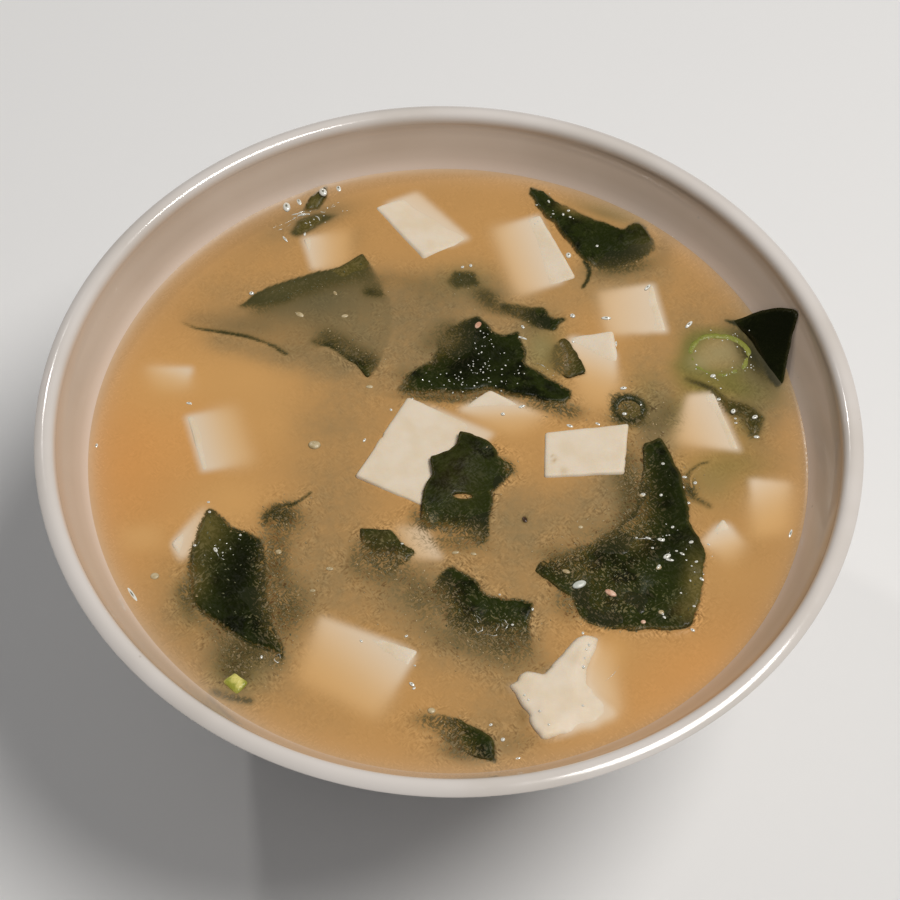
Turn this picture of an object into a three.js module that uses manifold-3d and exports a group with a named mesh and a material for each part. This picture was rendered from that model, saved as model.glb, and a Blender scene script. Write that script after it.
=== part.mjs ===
// Miso soup in its round bowl: the bowl, the broth up to its level, and the tofu, wakame and
// scallion that float in it. Lengths are millimetres and +Z is up. The origin is the middle of the
// foot ring's underside. Heights of the floating pieces are measured from the level of the broth.
import * as THREE from 'three';
import { mergeVertices } from 'three/addons/utils/BufferGeometryUtils.js';
import Module from 'manifold-3d';

const wasm = await Module();
wasm.setup();

// The bowl
const RIM_RADIUS = 60;
const BOWL_HEIGHT = 60;
const LIP_DROP = 0.6; // how far below the rim the outside wall turns into the lip
const LIP_STEPS = 6;
const FOOT_RADIUS = 26;
const FOOT_WIDTH = 3;
const FOOT_HEIGHT = 6;
const FOOT_RECESS = 4.5;
const FOOT_CHAMFER = 0.6;
const INSIDE_FLOOR = 9;
const INSIDE_TOP = 58;
const INSIDE_TOP_RADIUS = 57;
const AROUND = 64; // sides of every turned shape
const PROFILE_STEPS = 8;

// The broth
const BROTH_LEVEL = 51.4;
const GAP = 0.3; // between the broth and everything that it touches

// The pieces in the broth
const LEAF_THICKNESS = 0.7;
const LEAF_CELL = 3; // spacing of the facets on a leaf
const LEAF_RAGGEDNESS = 0.16;
const RAGGED_STEP = 2.2;
const LUMP_CELL = 2.2;
const SLOPE_ROOM = 1.4; // how much taller than wide a leaf's clearance is, because leaves slope
const TOFU_DEPTH = 9;
const TOFU_EDGE = 0.4;
const REST_GAP = 0.1; // what a leaf that lies on tofu stands clear of it, beyond the gap
const RING_SIDES = 10; // for each half turn

const finishes = {
  glaze: { color: 0xd3ccc6, roughness: 0.25, metalness: 0 },
  broth: { color: 0xb58a58, roughness: 0.2, metalness: 0 },
  tofu: { color: 0xe6dccb, roughness: 0.5, metalness: 0 },
  wakame: { color: 0x1f2812, roughness: 0.3, metalness: 0 },
  scallion: { color: 0x96a05a, roughness: 0.4, metalness: 0 },
};
const materials = Object.fromEntries(
  Object.entries(finishes).map(([name, finish]) => [name, new THREE.MeshStandardMaterial({ name, ...finish })]),
);

// ---------------------------------------------------------------- solids

// A manifold solid from a closed geometry.
function toSolid(geometry) {
  const bare = geometry.clone();
  bare.deleteAttribute('normal');
  bare.deleteAttribute('uv');
  const merged = mergeVertices(bare, 1e-4);
  return new wasm.Manifold(new wasm.Mesh({
    numProp: 3,
    vertProperties: new Float32Array(merged.attributes.position.array),
    triVerts: new Uint32Array(merged.index.array),
  }));
}

// The largest piece of a solid, as a geometry with flat faces.
function toGeometry(solid) {
  const pieces = solid.decompose();
  const largest = pieces.reduce((best, piece) => (piece.volume() > best.volume() ? piece : best));
  const mesh = largest.getMesh();
  const geometry = new THREE.BufferGeometry();
  geometry.setAttribute('position', new THREE.BufferAttribute(new Float32Array(mesh.vertProperties), 3));
  geometry.setIndex(new THREE.BufferAttribute(new Uint32Array(mesh.triVerts), 1));
  geometry.computeVertexNormals();
  return geometry;
}

// A profile of [radius, height] points turned about the z axis, as a solid.
function turned(points) {
  const geometry = new THREE.LatheGeometry(points.map(([r, z]) => new THREE.Vector2(r, z)), AROUND);
  return toSolid(geometry.rotateX(Math.PI / 2));
}

// An upright prism over an outline of [x, y] points.
function prism(outline, low, high) {
  const shape = new THREE.Shape(pointsOf(outline));
  const geometry = new THREE.ExtrudeGeometry(shape, { depth: high - low, bevelEnabled: false });
  return toSolid(geometry.translate(0, 0, low));
}

// A slab over a rectangle, whose top and bottom follow two height functions and share one grid.
function slab(box, cell, top, bottom) {
  const columns = Math.max(1, Math.ceil((box.max.x - box.min.x) / cell));
  const rows = Math.max(1, Math.ceil((box.max.y - box.min.y) / cell));
  const across = columns + 1;
  const layer = across * (rows + 1);
  const positions = [];
  for (const height of [top, bottom]) {
    for (let j = 0; j <= rows; j++) {
      for (let i = 0; i <= columns; i++) {
        const x = THREE.MathUtils.lerp(box.min.x, box.max.x, i / columns);
        const y = THREE.MathUtils.lerp(box.min.y, box.max.y, j / rows);
        positions.push(x, y, height(x, y));
      }
    }
  }
  const faces = [];
  for (let j = 0; j < rows; j++) {
    for (let i = 0; i < columns; i++) {
      const a = j * across + i;
      const [b, c, d] = [a + 1, a + across, a + across + 1];
      faces.push(a, b, d, a, d, c);
      faces.push(a + layer, d + layer, b + layer, a + layer, c + layer, d + layer);
    }
  }
  const wall = (p, q) => faces.push(p, p + layer, q + layer, p, q + layer, q);
  for (let i = 0; i < columns; i++) {
    wall(i, i + 1);
    wall(rows * across + i + 1, rows * across + i);
  }
  for (let j = 0; j < rows; j++) {
    wall((j + 1) * across, j * across);
    wall(j * across + columns, (j + 1) * across + columns);
  }
  const geometry = new THREE.BufferGeometry();
  geometry.setAttribute('position', new THREE.Float32BufferAttribute(positions, 3));
  geometry.setIndex(faces);
  return toSolid(geometry);
}

// ---------------------------------------------------------------- outlines and heights

const pointsOf = (outline) => outline.map(([x, y]) => new THREE.Vector2(x, y));

// Each corner of an outline, moved out by a distance along the mean of its two sides' normals.
function offset(outline, distance) {
  const outwards = distance * Math.sign(THREE.ShapeUtils.area(pointsOf(outline)));
  return outline.map(([x, y], i) => {
    const [px, py] = outline[(i + outline.length - 1) % outline.length];
    const [nx, ny] = outline[(i + 1) % outline.length];
    const before = new THREE.Vector2(y - py, px - x).normalize();
    const after = new THREE.Vector2(ny - y, x - nx).normalize();
    const normal = before.clone().add(after).normalize();
    const reach = outwards / Math.max(normal.dot(before), 0.5);
    return [x + normal.x * reach, y + normal.y * reach];
  });
}

// The outline of a torn leaf: its corners, with small teeth along the sides between them.
function ragged(corners) {
  const outline = [];
  corners.forEach(([x, y], i) => {
    const [u, v] = corners[(i + 1) % corners.length];
    const length = Math.hypot(u - x, v - y);
    const steps = Math.max(1, Math.round(length / RAGGED_STEP));
    for (let k = 0; k < steps; k++) {
      const t = k / steps;
      const tooth = k === 0 ? 0 : LEAF_RAGGEDNESS * Math.sin(7.3 * i + 2.1 * k);
      outline.push([x + (u - x) * t + ((v - y) / length) * tooth, y + (v - y) * t - ((u - x) / length) * tooth]);
    }
  });
  return outline;
}

// A smooth surface through the heights of [x, y, height] corners.
function through(corners) {
  return (x, y) => {
    let sum = 0;
    let weights = 0;
    for (const [cx, cy, height] of corners) {
      const weight = 1 / (0.3 + (x - cx) ** 2 + (y - cy) ** 2) ** 1.5;
      sum += weight * height;
      weights += weight;
    }
    return sum / weights;
  };
}

// The level heights of a plane fitted to the corners of a block.
function plane(corners) {
  const n = corners.length;
  const mean = [0, 1, 2].map((k) => corners.reduce((sum, corner) => sum + corner[k], 0) / n);
  let [xx, xy, yy, xz, yz] = [0, 0, 0, 0, 0];
  for (const corner of corners) {
    const [x, y, z] = corner.map((value, k) => value - mean[k]);
    xx += x * x;
    xy += x * y;
    yy += y * y;
    xz += x * z;
    yz += y * z;
  }
  const determinant = xx * yy - xy * xy;
  const slopeX = (xz * yy - yz * xy) / determinant;
  const slopeY = (yz * xx - xz * xy) / determinant;
  return (x, y) => mean[2] + slopeX * (x - mean[0]) + slopeY * (y - mean[1]);
}

function inside(outline, x, y) {
  let odd = false;
  outline.forEach(([ax, ay], i) => {
    const [bx, by] = outline[(i + 1) % outline.length];
    if ((ay > y) !== (by > y) && x < ax + ((bx - ax) * (y - ay)) / (by - ay)) odd = !odd;
  });
  return odd;
}

const boxOf = (outline) => new THREE.Box2().setFromPoints(pointsOf(outline)).expandByScalar(1);

// ---------------------------------------------------------------- the bowl and the broth

const curve = (points, steps) => new THREE.CubicBezierCurve(...points.map(([r, z]) => new THREE.Vector2(r, z)))
  .getPoints(steps).map((point) => [point.x, point.y]);

// The inside wall, from the middle of the floor up to the lip.
const insideWall = curve([[0, INSIDE_FLOOR], [40, INSIDE_FLOOR], [43, 37.6], [INSIDE_TOP_RADIUS, INSIDE_TOP]], PROFILE_STEPS);

// The outside wall, from the foot up to the lip.
const outsideWall = curve([[FOOT_RADIUS, FOOT_HEIGHT], [42, 8], [50, 40], [RIM_RADIUS, BOWL_HEIGHT - LIP_DROP]], PROFILE_STEPS);

function bowl() {
  const lipMiddle = (INSIDE_TOP_RADIUS + RIM_RADIUS) / 2;
  const lipReach = (RIM_RADIUS - INSIDE_TOP_RADIUS) / 2;
  const lip = [];
  for (let k = 1; k < LIP_STEPS; k++) {
    const angle = (Math.PI * k) / LIP_STEPS;
    const base = THREE.MathUtils.lerp(BOWL_HEIGHT - LIP_DROP, INSIDE_TOP, k / LIP_STEPS);
    lip.push([lipMiddle + lipReach * Math.cos(angle), base + (BOWL_HEIGHT - base) * Math.sin(angle)]);
  }
  const footInside = FOOT_RADIUS - FOOT_WIDTH;
  return turned([
    [0, FOOT_RECESS], [footInside - FOOT_CHAMFER, FOOT_RECESS], [footInside, FOOT_CHAMFER], [footInside + FOOT_CHAMFER, 0],
    [FOOT_RADIUS - FOOT_CHAMFER, 0], [FOOT_RADIUS, FOOT_CHAMFER],
    ...outsideWall, ...lip, ...[...insideWall].reverse(),
  ]);
}

// The radius of the inside wall at a height.
function insideRadius(z) {
  const above = insideWall.findIndex((point) => point[1] >= z);
  const [[r0, z0], [r1, z1]] = [insideWall[above - 1], insideWall[above]];
  return r0 + ((r1 - r0) * (z - z0)) / (z1 - z0);
}

// The broth before anything is cut out of it: it fills the bowl to its level, a gap clear of the wall.
function brothFill() {
  const below = insideWall.filter(([, z]) => z < BROTH_LEVEL - 1).map(([r, z]) => [Math.max(0, r - GAP), z + GAP]);
  return turned([...below, [insideRadius(BROTH_LEVEL) - GAP - 0.1, BROTH_LEVEL], [0, BROTH_LEVEL]]);
}

// ---------------------------------------------------------------- tofu

// Blocks cut with a knife. Each has four corners [x, y, height above the broth], and leans by so
// many millimetres for each millimetre of depth where it would meet the wall of the bowl.
const tofuBlocks = {
  tofu_far_left: { corners: [[-11.7, 45.3, 0.4], [-4, 35.3, 0.6], [3.4, 39.2, 0], [-4.8, 48.6, -0.2]], lean: [0.2, -0.8] },
  tofu_far_right: { corners: [[7, 41.3, -0.75], [10.6, 27.5, -0.6], [20.3, 31.4, 0.4], [14.7, 44.1, 0.35]], lean: [-0.2, -0.6] },
  tofu_under_strip: { corners: [[-23, 33.6, 0], [-16, 34, -0.8], [-15.6, 40.8, -0.8], [-22.8, 38.8, 0.1]], lean: [0.2, -0.4], depth: 8 },
  tofu_right_of_far: { corners: [[26.2, 20.6, -0.45], [33.9, 21.1, 0.15], [32.3, 30.4, 0.1], [23.6, 28.7, -0.55]], depth: 8 },
  tofu_right_middle: { corners: [[19.9, 7, -1.9], [25.6, 7.4, -1.8], [25.5, 20.2, 0.45], [19, 19.8, 0.4]] },
  tofu_corner: { corners: [[1.2, 6.2, -0.1], [9.5, 1.9, -1.4], [14.5, 4.9, -0.3], [6.2, 9.3, 0.3]], depth: 7 },
  tofu_middle: { corners: [[-14, -6, 0.5], [-4, -11, 0.5], [6.8, 2, -0.3], [-6.3, 8.6, 0.5]], depth: 11 },
  tofu_right: { corners: [[13.8, -6, 0.5], [25.9, -5.2, 0.5], [27.1, 4, 0.4], [14.2, 2.2, 0.4]] },
  tofu_near_curl: { corners: [[33.1, 0.7, -0.8], [43.2, -0.8, 0.15], [39.9, 9.4, 0.2], [36.3, 9.1, -0.25]], lean: [-0.3, 0] },
  tofu_right_edge: { corners: [[44.1, -14.4, -0.7], [49.5, -13.2, -0.95], [50.3, -6.6, -0.2], [44.6, -5.8, 0]], lean: [-0.9, 0.2], depth: 7 },
  tofu_right_corner: { corners: [[37.2, -16.4, -0.1], [40, -20.2, -1.2], [42.8, -17, -0.5], [39.9, -12.4, 0.3]], lean: [-0.3, 0], depth: 7 },
  tofu_near_left: { corners: [[-18.3, -29, 0.1], [-21.5, -39, -1.5], [-10.2, -44.9, -0.25], [-4.5, -34.6, 0.15]], lean: [0.1, 0.4], depth: 8 },
  tofu_left: { corners: [[-39.4, 4.6, 0.1], [-36.3, -5.1, 0.25], [-28.7, -3.5, -0.9], [-32, 6.7, -0.8]] },
  tofu_left_sliver: { corners: [[-39.9, -17.3, 0.2], [-38.5, -20.1, 0.1], [-33.6, -17, -1.2], [-35.3, -11.9, -0.4]], depth: 7 },
};

// The block that broke up, with the heights of the lumps along its edge and on its top.
const tofuBroken = {
  corners: [
    [8.2, -40, 0.5], [10, -37.9, 0.9], [12.7, -38.1, 0.5], [15.3, -35.2, 0.7], [18.3, -32.2, 0.9], [20.7, -32.5, 0.4],
    [19.3, -38.4, 0.1], [20.2, -41.2, 0], [22.9, -44, -0.3], [20.4, -45.9, -0.3], [12.6, -47.7, 0.7], [10.6, -44.8, 0.6],
  ],
  lumps: [[12.4, -43.2, 0.9], [16.4, -40.4, 0.5], [17.7, -36, 0.9], [16.4, -43.8, 0.4]],
  depth: 3.2,
};

function tofuBlock({ corners, lean = [0, 0], depth = TOFU_DEPTH }, grow = 0) {
  const top = plane(corners);
  const outline = offset(corners, grow);
  const geometry = new THREE.ExtrudeGeometry(new THREE.Shape(pointsOf(outline)), {
    depth: depth + 2 * grow - 2 * TOFU_EDGE,
    bevelSize: TOFU_EDGE,
    bevelOffset: -TOFU_EDGE,
    bevelThickness: TOFU_EDGE,
    bevelSegments: 1,
  });
  geometry.translate(0, 0, TOFU_EDGE + grow - (depth + 2 * grow));
  const position = geometry.attributes.position;
  for (let i = 0; i < position.count; i++) {
    const [x, y, z] = [position.getX(i), position.getY(i), position.getZ(i)];
    const below = Math.max(0, -z);
    position.setXYZ(i, x + lean[0] * below, y + lean[1] * below, BROTH_LEVEL + z + top(x, y));
  }
  return toSolid(geometry);
}

function tofuLump({ corners, lumps, depth }, grow = 0) {
  const top = through([...corners, ...lumps]);
  const outline = offset(corners, grow);
  const high = (x, y) => BROTH_LEVEL + top(x, y) + grow;
  const low = () => BROTH_LEVEL - depth - grow;
  const body = slab(boxOf(corners), LUMP_CELL, high, low);
  return body.intersect(prism(outline, BROTH_LEVEL - 20, BROTH_LEVEL + 10));
}

// ---------------------------------------------------------------- wakame

// Torn leaves, each by its corners [x, y, height above the broth]. A leaf sags by so much between
// its edges, and is carried clear of the blocks of tofu that it lies on. A flat one leans straight.
const wakameLeaves = {
  wakame_far_right: {
    corners: [
      [13.5, 49.3, 0.6], [17.5, 46.8, 0.7], [20.5, 44.2, 0.8], [28, 41.8, 0.6], [30.9, 42.6, 0.5], [33.4, 37.9, -0.5],
      [28, 35, -0.6], [23.5, 33.5, -0.2], [21.5, 34.6, 0.6], [18.8, 38.6, 0.9], [15.6, 43.4, 0.9], [12.9, 47.6, 0.8],
    ],
    over: ['tofu_far_right'],
  },
  wakame_blade: { corners: [[-20.1, 48.4, 1.6], [-21.2, 44.9, 0.4], [-23, 44.4, 0.3], [-21.7, 47.4, 1.2]] },
  wakame_strip: {
    corners: [[-17, 43.6, 0.3], [-21, 42.2, 0.6], [-25.2, 39.7, 0.4], [-24.6, 38.7, 0.4], [-20.5, 41.2, 0.7], [-16.8, 42.9, 0.2]],
    over: ['tofu_under_strip'],
  },
  wakame_far_left: {
    corners: [
      [-42, 22, 0], [-35, 20.1, 0.2], [-28.5, 18.3, 0.1], [-24.5, 16.6, -0.5], [-19, 18, 0.2], [-15.5, 15.3, 0.3],
      [-12.2, 12, 0.3], [-10.6, 14.5, -0.5], [-8.5, 21, -1.4], [-8.8, 27.5, -1], [-11.3, 32.2, -0.1],
      [-13.5, 35.8, 0.4], [-21, 32.1, 0.4], [-32, 26, 0.3],
    ],
    sag: 1.1,
  },
  wakame_scrap: { corners: [[0, 30.4, 0], [1.6, 28.9, -0.3], [4.7, 30.4, 0.2], [4, 32.6, 0.3], [1, 32.6, 0.2]] },
  wakame_ribbon: {
    corners: [[9, 25.2, -0.9], [13, 26, -0.2], [16, 24.4, 0.2], [18.5, 23.2, 0.4], [16.6, 21.6, 0.3], [13.5, 22, -0.2], [9.4, 23, -0.9]],
  },
  wakame_middle: {
    corners: [
      [-8, 9.9, 0.3], [-3, 9.4, 0.5], [2, 9.4, 0.7], [6.2, 10.2, 0.8], [11, 8.6, 0.7], [17.5, 7.3, 0.4], [18.8, 9.5, 0.3],
      [14, 12.8, 0.5], [11.7, 15, 0.4], [12.3, 17.2, 0.5], [10.8, 20.9, 0.5], [8.3, 20.1, 0.6], [4.6, 23.8, 0.4],
      [-2.2, 19.4, -0.8], [-4.8, 13.6, 0.1],
    ],
    over: ['tofu_corner'],
  },
  wakame_flake: {
    corners: [[15.8, 17, -0.2], [16.6, 13.5, -0.1], [18.3, 12, 0.4], [20.9, 13.2, 0.8], [19.4, 16.5, 0.9], [18.1, 19.5, 0.7], [16.9, 19.8, 0.2]],
    over: ['tofu_right_middle'],
  },
  wakame_upright: {
    corners: [
      [42.8, 23.5, -0.5], [44.6, 22.4, -0.4], [46.9, 19.4, -0.5], [48.2, 15.5, -0.6], [48.8, 12.4, -0.6], [50, 10.6, -0.2],
      [50.9, 12.9, 1.1], [51.3, 14.8, 2.4], [51.8, 17.2, 4.2], [52.4, 20, 6.4], [50.4, 22.1, 4.8], [48, 23, 2.9], [46, 23, 1.4],
    ],
    flat: true,
  },
  wakame_right: {
    corners: [
      [29, 0.3, 0.4], [31.4, 1.1, 0.7], [34, -5.3, 0.8], [34.8, -10, 0.6], [34.7, -13.5, 0.9], [36.8, -19.3, 0.9],
      [36.1, -23, 0.5], [34, -30.2, 0.4], [25, -31, 0.4], [20, -30, 0.3], [17, -24.8, 0.2], [12, -21.7, 0.3],
      [15, -19, -0.2], [24, -15, -0.6], [27.5, -8, -0.3],
    ],
  },
  wakame_on_tofu: {
    corners: [
      [1.5, 1.8, 1.4], [4, 0.9, 1.2], [6.9, -1.2, 0.5], [9.8, -3.9, -0.4], [6.6, -8, 0.2], [6.2, -10, 0.2], [5.6, -15.5, -0.4],
      [4, -17.3, -0.6], [1, -15, -0.2], [-4.6, -13.9, 0.3], [-3.8, -8.5, 1.2], [-2.5, -5.9, 1.4], [-2.8, -2.5, 1.4], [0, -1.4, 1.4],
    ],
    over: ['tofu_middle'],
  },
  wakame_chip: {
    corners: [[-13, -14.6, 0.4], [-12.6, -20, 0.2], [-9, -21.4, 0.1], [-5.5, -19.3, 0.4], [-7.3, -17.1, 0.4], [-8.6, -14.8, 0.6]],
  },
  wakame_near_middle: {
    corners: [
      [-2.5, -25, -0.6], [-1.5, -22, 0.3], [0.2, -20.6, 0.4], [4.5, -24.5, 0.3], [9, -26, 0.5], [11.9, -26.6, 0.6],
      [11.3, -31.5, 0.2], [11.5, -34.8, -0.9], [4, -33, -1], [0, -30.5, -1],
    ],
  },
  wakame_near_left: {
    corners: [
      [-35, -11.5, 0.7], [-36.4, -15, 0.8], [-37.6, -21, 0.7], [-37, -25.5, 0.6], [-33.5, -30, 0.5], [-27, -34.2, 0.4],
      [-23.4, -36, 0.3], [-23.4, -34.4, 0.3], [-25.5, -31, 0.2], [-26.9, -26, 0], [-27, -20, -0.2], [-28, -16, -0.2],
      [-31.5, -14.6, 0.3], [-34, -12, 0.6],
    ],
    over: ['tofu_left_sliver'],
  },
  wakame_near_edge: {
    corners: [[-4, -44.6, -0.7], [-1, -44.2, 0.1], [2, -45.7, 0.4], [5.4, -47.5, 0.4], [6, -50.9, 0.4], [2, -49.7, 0.2], [-2.5, -47, -0.3]],
  },
  scallion_curl: {
    corners: [
      [36.4, 11.8, 0.1], [39.9, 10.4, 0.4], [41.5, 8.3, 0.4], [42.5, 6.1, 0.4], [44.4, 5.1, 0.4], [44.8, 1.3, 0.1], [46.3, 1.5, 0.2],
      [47.8, 5.1, 0.3], [46.3, 6.5, 0.4], [44.6, 7.8, 0.4], [42.5, 8.4, 0.5], [40.6, 11, 0.4], [38.1, 12.3, 0.2],
    ],
    material: 'wakame',
  },
};

function wakameLeaf({ corners, sag = 0, over = [], flat = false }, grow = 0) {
  const outline = ragged(corners);
  const box = boxOf(outline);
  const surface = flat ? plane(corners) : through(corners);
  const middle = box.getCenter(new THREE.Vector2());
  const reach = box.getSize(new THREE.Vector2()).multiplyScalar(0.5);
  const supports = over.map((name) => ({
    outline: offset(tofuBlocks[name].corners, LEAF_CELL * 1.5),
    top: plane(tofuBlocks[name].corners),
  }));
  const half = LEAF_THICKNESS / 2;
  const height = (x, y) => {
    const away = Math.hypot((x - middle.x) / reach.x, (y - middle.y) / reach.y);
    let z = surface(x, y) - sag * Math.max(0, 1 - away * away);
    for (const support of supports) {
      if (inside(support.outline, x, y)) z = Math.max(z, support.top(x, y) + GAP + half + REST_GAP);
    }
    return BROTH_LEVEL + z;
  };
  const reachUp = half + grow * SLOPE_ROOM;
  const body = slab(box, LEAF_CELL, (x, y) => height(x, y) + reachUp, (x, y) => height(x, y) - reachUp);
  return body.intersect(prism(offset(outline, grow), 0, BOWL_HEIGHT + 10));
}

// ---------------------------------------------------------------- scallion

// Slices of the stem: rings by their centre, outer half sizes, wall, height and tilt in degrees.
const scallionRings = {
  scallion_slice: { centre: [41.6, 16.8, 0.2], outer: [5.1, 4.3], wall: 1.1, height: 2.4, tilt: [2, -2] },
  scallion_small: { centre: [27.2, 6.8, 0.3], outer: [2.5, 2.4], wall: 1, height: 1.2, tilt: [2, 0] },
  scallion_sunk: { centre: [38.9, -6.8, -0.3], outer: [3.7, 3.7], wall: 0.6, height: 1.8, tilt: [3, 7] },
};

const scallionChip = { centre: [-29.7, -39.8, 0.45], size: [2.4, 2.2, 1.5], turn: -40 };

function scallionRing({ centre, outer, wall, height, tilt }, grow = 0) {
  const shape = new THREE.Shape().absellipse(0, 0, outer[0] + grow, outer[1] + grow, 0, 2 * Math.PI);
  const hole = new THREE.Path().absellipse(0, 0, outer[0] - wall - grow, outer[1] - wall - grow, 0, 2 * Math.PI, true);
  shape.holes.push(hole);
  const geometry = new THREE.ExtrudeGeometry(shape, {
    depth: height + 2 * grow,
    curveSegments: RING_SIDES,
    bevelEnabled: false,
  });
  geometry.translate(0, 0, -height - grow);
  geometry.rotateX(THREE.MathUtils.degToRad(tilt[0])).rotateY(THREE.MathUtils.degToRad(tilt[1]));
  return toSolid(geometry.translate(centre[0], centre[1], BROTH_LEVEL + centre[2]));
}

function scallionSquare({ centre, size, turn }, grow = 0) {
  const geometry = new THREE.BoxGeometry(...size.map((side) => side + 2 * grow));
  geometry.translate(0, 0, -size[2] / 2).rotateZ(THREE.MathUtils.degToRad(turn));
  return toSolid(geometry.translate(centre[0], centre[1], BROTH_LEVEL + centre[2]));
}

// ---------------------------------------------------------------- the assembly

function addMesh(group, name, solid, material) {
  const mesh = new THREE.Mesh(toGeometry(solid), material);
  mesh.name = name;
  group.add(mesh);
}

const soup = new THREE.Group();
const floating = new THREE.Group();
soup.add(floating);

const clearances = [];
function float(name, shape, description, material) {
  addMesh(floating, name, shape(description), material);
  clearances.push(shape(description, GAP));
}

for (const [name, block] of Object.entries(tofuBlocks)) float(name, tofuBlock, block, materials.tofu);
float('tofu_broken', tofuLump, tofuBroken, materials.tofu);
for (const [name, leaf] of Object.entries(wakameLeaves)) float(name, wakameLeaf, leaf, materials[leaf.material ?? 'wakame']);
for (const [name, ring] of Object.entries(scallionRings)) float(name, scallionRing, ring, materials.scallion);
float('scallion_chip', scallionSquare, scallionChip, materials.scallion);

addMesh(soup, 'bowl', bowl(), materials.glaze);
addMesh(soup, 'broth', clearances.reduce((broth, clearance) => broth.subtract(clearance), brothFill()), materials.broth);

export default soup;
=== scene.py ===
"""A bowl of miso soup: the glazed bowl, the cloudy broth, and the tofu, wakame and scallion in it.

Lengths in this file are millimetres unless a name says otherwise, x runs to the right, y away from
the viewer and z up. Heights of what floats are measured from the level of the broth.
"""

from __future__ import annotations

import logging
import math
from collections.abc import Sequence
from dataclasses import dataclass, field
from enum import Enum

import bpy
import numpy as np
from mathutils import Matrix, Vector, geometry

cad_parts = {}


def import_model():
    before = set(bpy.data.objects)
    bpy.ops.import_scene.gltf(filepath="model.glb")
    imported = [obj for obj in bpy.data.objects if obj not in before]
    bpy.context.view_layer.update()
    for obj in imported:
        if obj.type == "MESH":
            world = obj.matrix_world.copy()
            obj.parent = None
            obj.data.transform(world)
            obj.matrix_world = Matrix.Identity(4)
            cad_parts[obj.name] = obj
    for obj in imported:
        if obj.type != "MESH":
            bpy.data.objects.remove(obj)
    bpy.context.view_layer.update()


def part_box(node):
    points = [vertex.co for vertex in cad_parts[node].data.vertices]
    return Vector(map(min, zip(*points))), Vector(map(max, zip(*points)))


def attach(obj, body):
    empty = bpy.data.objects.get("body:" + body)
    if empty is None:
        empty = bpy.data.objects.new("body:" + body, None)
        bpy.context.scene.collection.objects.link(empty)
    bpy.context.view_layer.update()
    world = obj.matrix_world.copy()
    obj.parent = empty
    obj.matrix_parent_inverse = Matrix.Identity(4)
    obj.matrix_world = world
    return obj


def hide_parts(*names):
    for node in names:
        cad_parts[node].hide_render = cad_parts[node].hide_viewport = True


MM = 0.001
ROOT = "root"
# How thick a leaf is, and how far it dips under the broth where the broth veils it.
LEAF_THICKNESS = 0.38
DIP = 0.16
log = logging.getLogger("miso_soup")

Array = np.ndarray
Piece = bpy.types.Object
Material = bpy.types.Material
Socket = bpy.types.NodeSocket
Place = tuple[float, float]
Corner = tuple[float, float, float]
Colour = tuple[float, float, float]
Faces = list[tuple[int, ...]]


class Slot(Enum):
    """The finishes that the record names."""

    GLAZE = "glaze"
    BROTH = "broth"
    TOFU = "tofu"
    WAKAME = "wakame"
    SCALLION = "scallion"


# ------------------------------------------------------------------ small helpers


def srgb(red: float, green: float, blue: float) -> tuple[float, float, float, float]:
    """Turn a screen colour of 0 to 255 into the linear colour that a shader socket takes.

    Args:
        red: The red share.
        green: The green share.
        blue: The blue share.

    Returns:
        The linear colour, with full alpha.
    """

    def linear(value: float) -> float:
        """Undo the screen's curve for one channel."""
        part = value / 255.0
        return part / 12.92 if part <= 0.04045 else ((part + 0.055) / 1.055) ** 2.4

    return (linear(red), linear(green), linear(blue), 1.0)


def smoothstep(low: float, high: float, value: Array) -> Array:
    """Rise smoothly from 0 at low to 1 at high."""
    part = np.clip((value - low) / (high - low), 0.0, 1.0)
    return part * part * (3.0 - 2.0 * part)


def ripple(x: Array, y: Array, size: float, seed: float) -> Array:
    """Smooth random relief between -1 and 1, the same on every run.

    Args:
        x: Where to read it, across.
        y: Where to read it, away.
        size: The distance between one hump and the next.
        seed: Picks one relief out of many.

    Returns:
        The relief at each place.
    """

    def corner(column: Array, row: Array) -> Array:
        """A random value for each corner of the grid."""
        wave = np.sin(column * 127.1 + row * 311.7 + seed * 74.7) * 43758.5453
        return wave - np.floor(wave)

    gx, gy = x / size + seed * 3.7, y / size - seed * 1.9
    column, row = np.floor(gx), np.floor(gy)
    u, v = gx - column, gy - row
    u, v = u * u * (3 - 2 * u), v * v * (3 - 2 * v)
    near = corner(column, row) * (1 - u) + corner(column + 1, row) * u
    far = corner(column, row + 1) * (1 - u) + corner(column + 1, row + 1) * u
    return 2 * (near * (1 - v) + far * v) - 1


def through(corners: Sequence[Corner], x: Array, y: Array) -> Array:
    """A smooth surface through the heights of some corners.

    Args:
        corners: Points of x, y and height.
        x: Where to read the surface, across.
        y: Where to read the surface, away.

    Returns:
        The height at each place.
    """
    total = np.zeros_like(x, dtype=float)
    weights = np.zeros_like(x, dtype=float)
    for cx, cy, height in corners:
        weight = 1.0 / (0.3 + (x - cx) ** 2 + (y - cy) ** 2) ** 1.5
        total += weight * height
        weights += weight
    return total / weights


def plane(corners: Sequence[Corner], x: Array, y: Array) -> Array:
    """The plane that lies best through some corners.

    Args:
        corners: Points of x, y and height.
        x: Where to read the plane, across.
        y: Where to read the plane, away.

    Returns:
        The height at each place.
    """
    points = np.array(corners, dtype=float)
    matrix = np.c_[points[:, 0], points[:, 1], np.ones(len(points))]
    a, b, c = np.linalg.lstsq(matrix, points[:, 2], rcond=None)[0]
    return a * x + b * y + c


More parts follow.
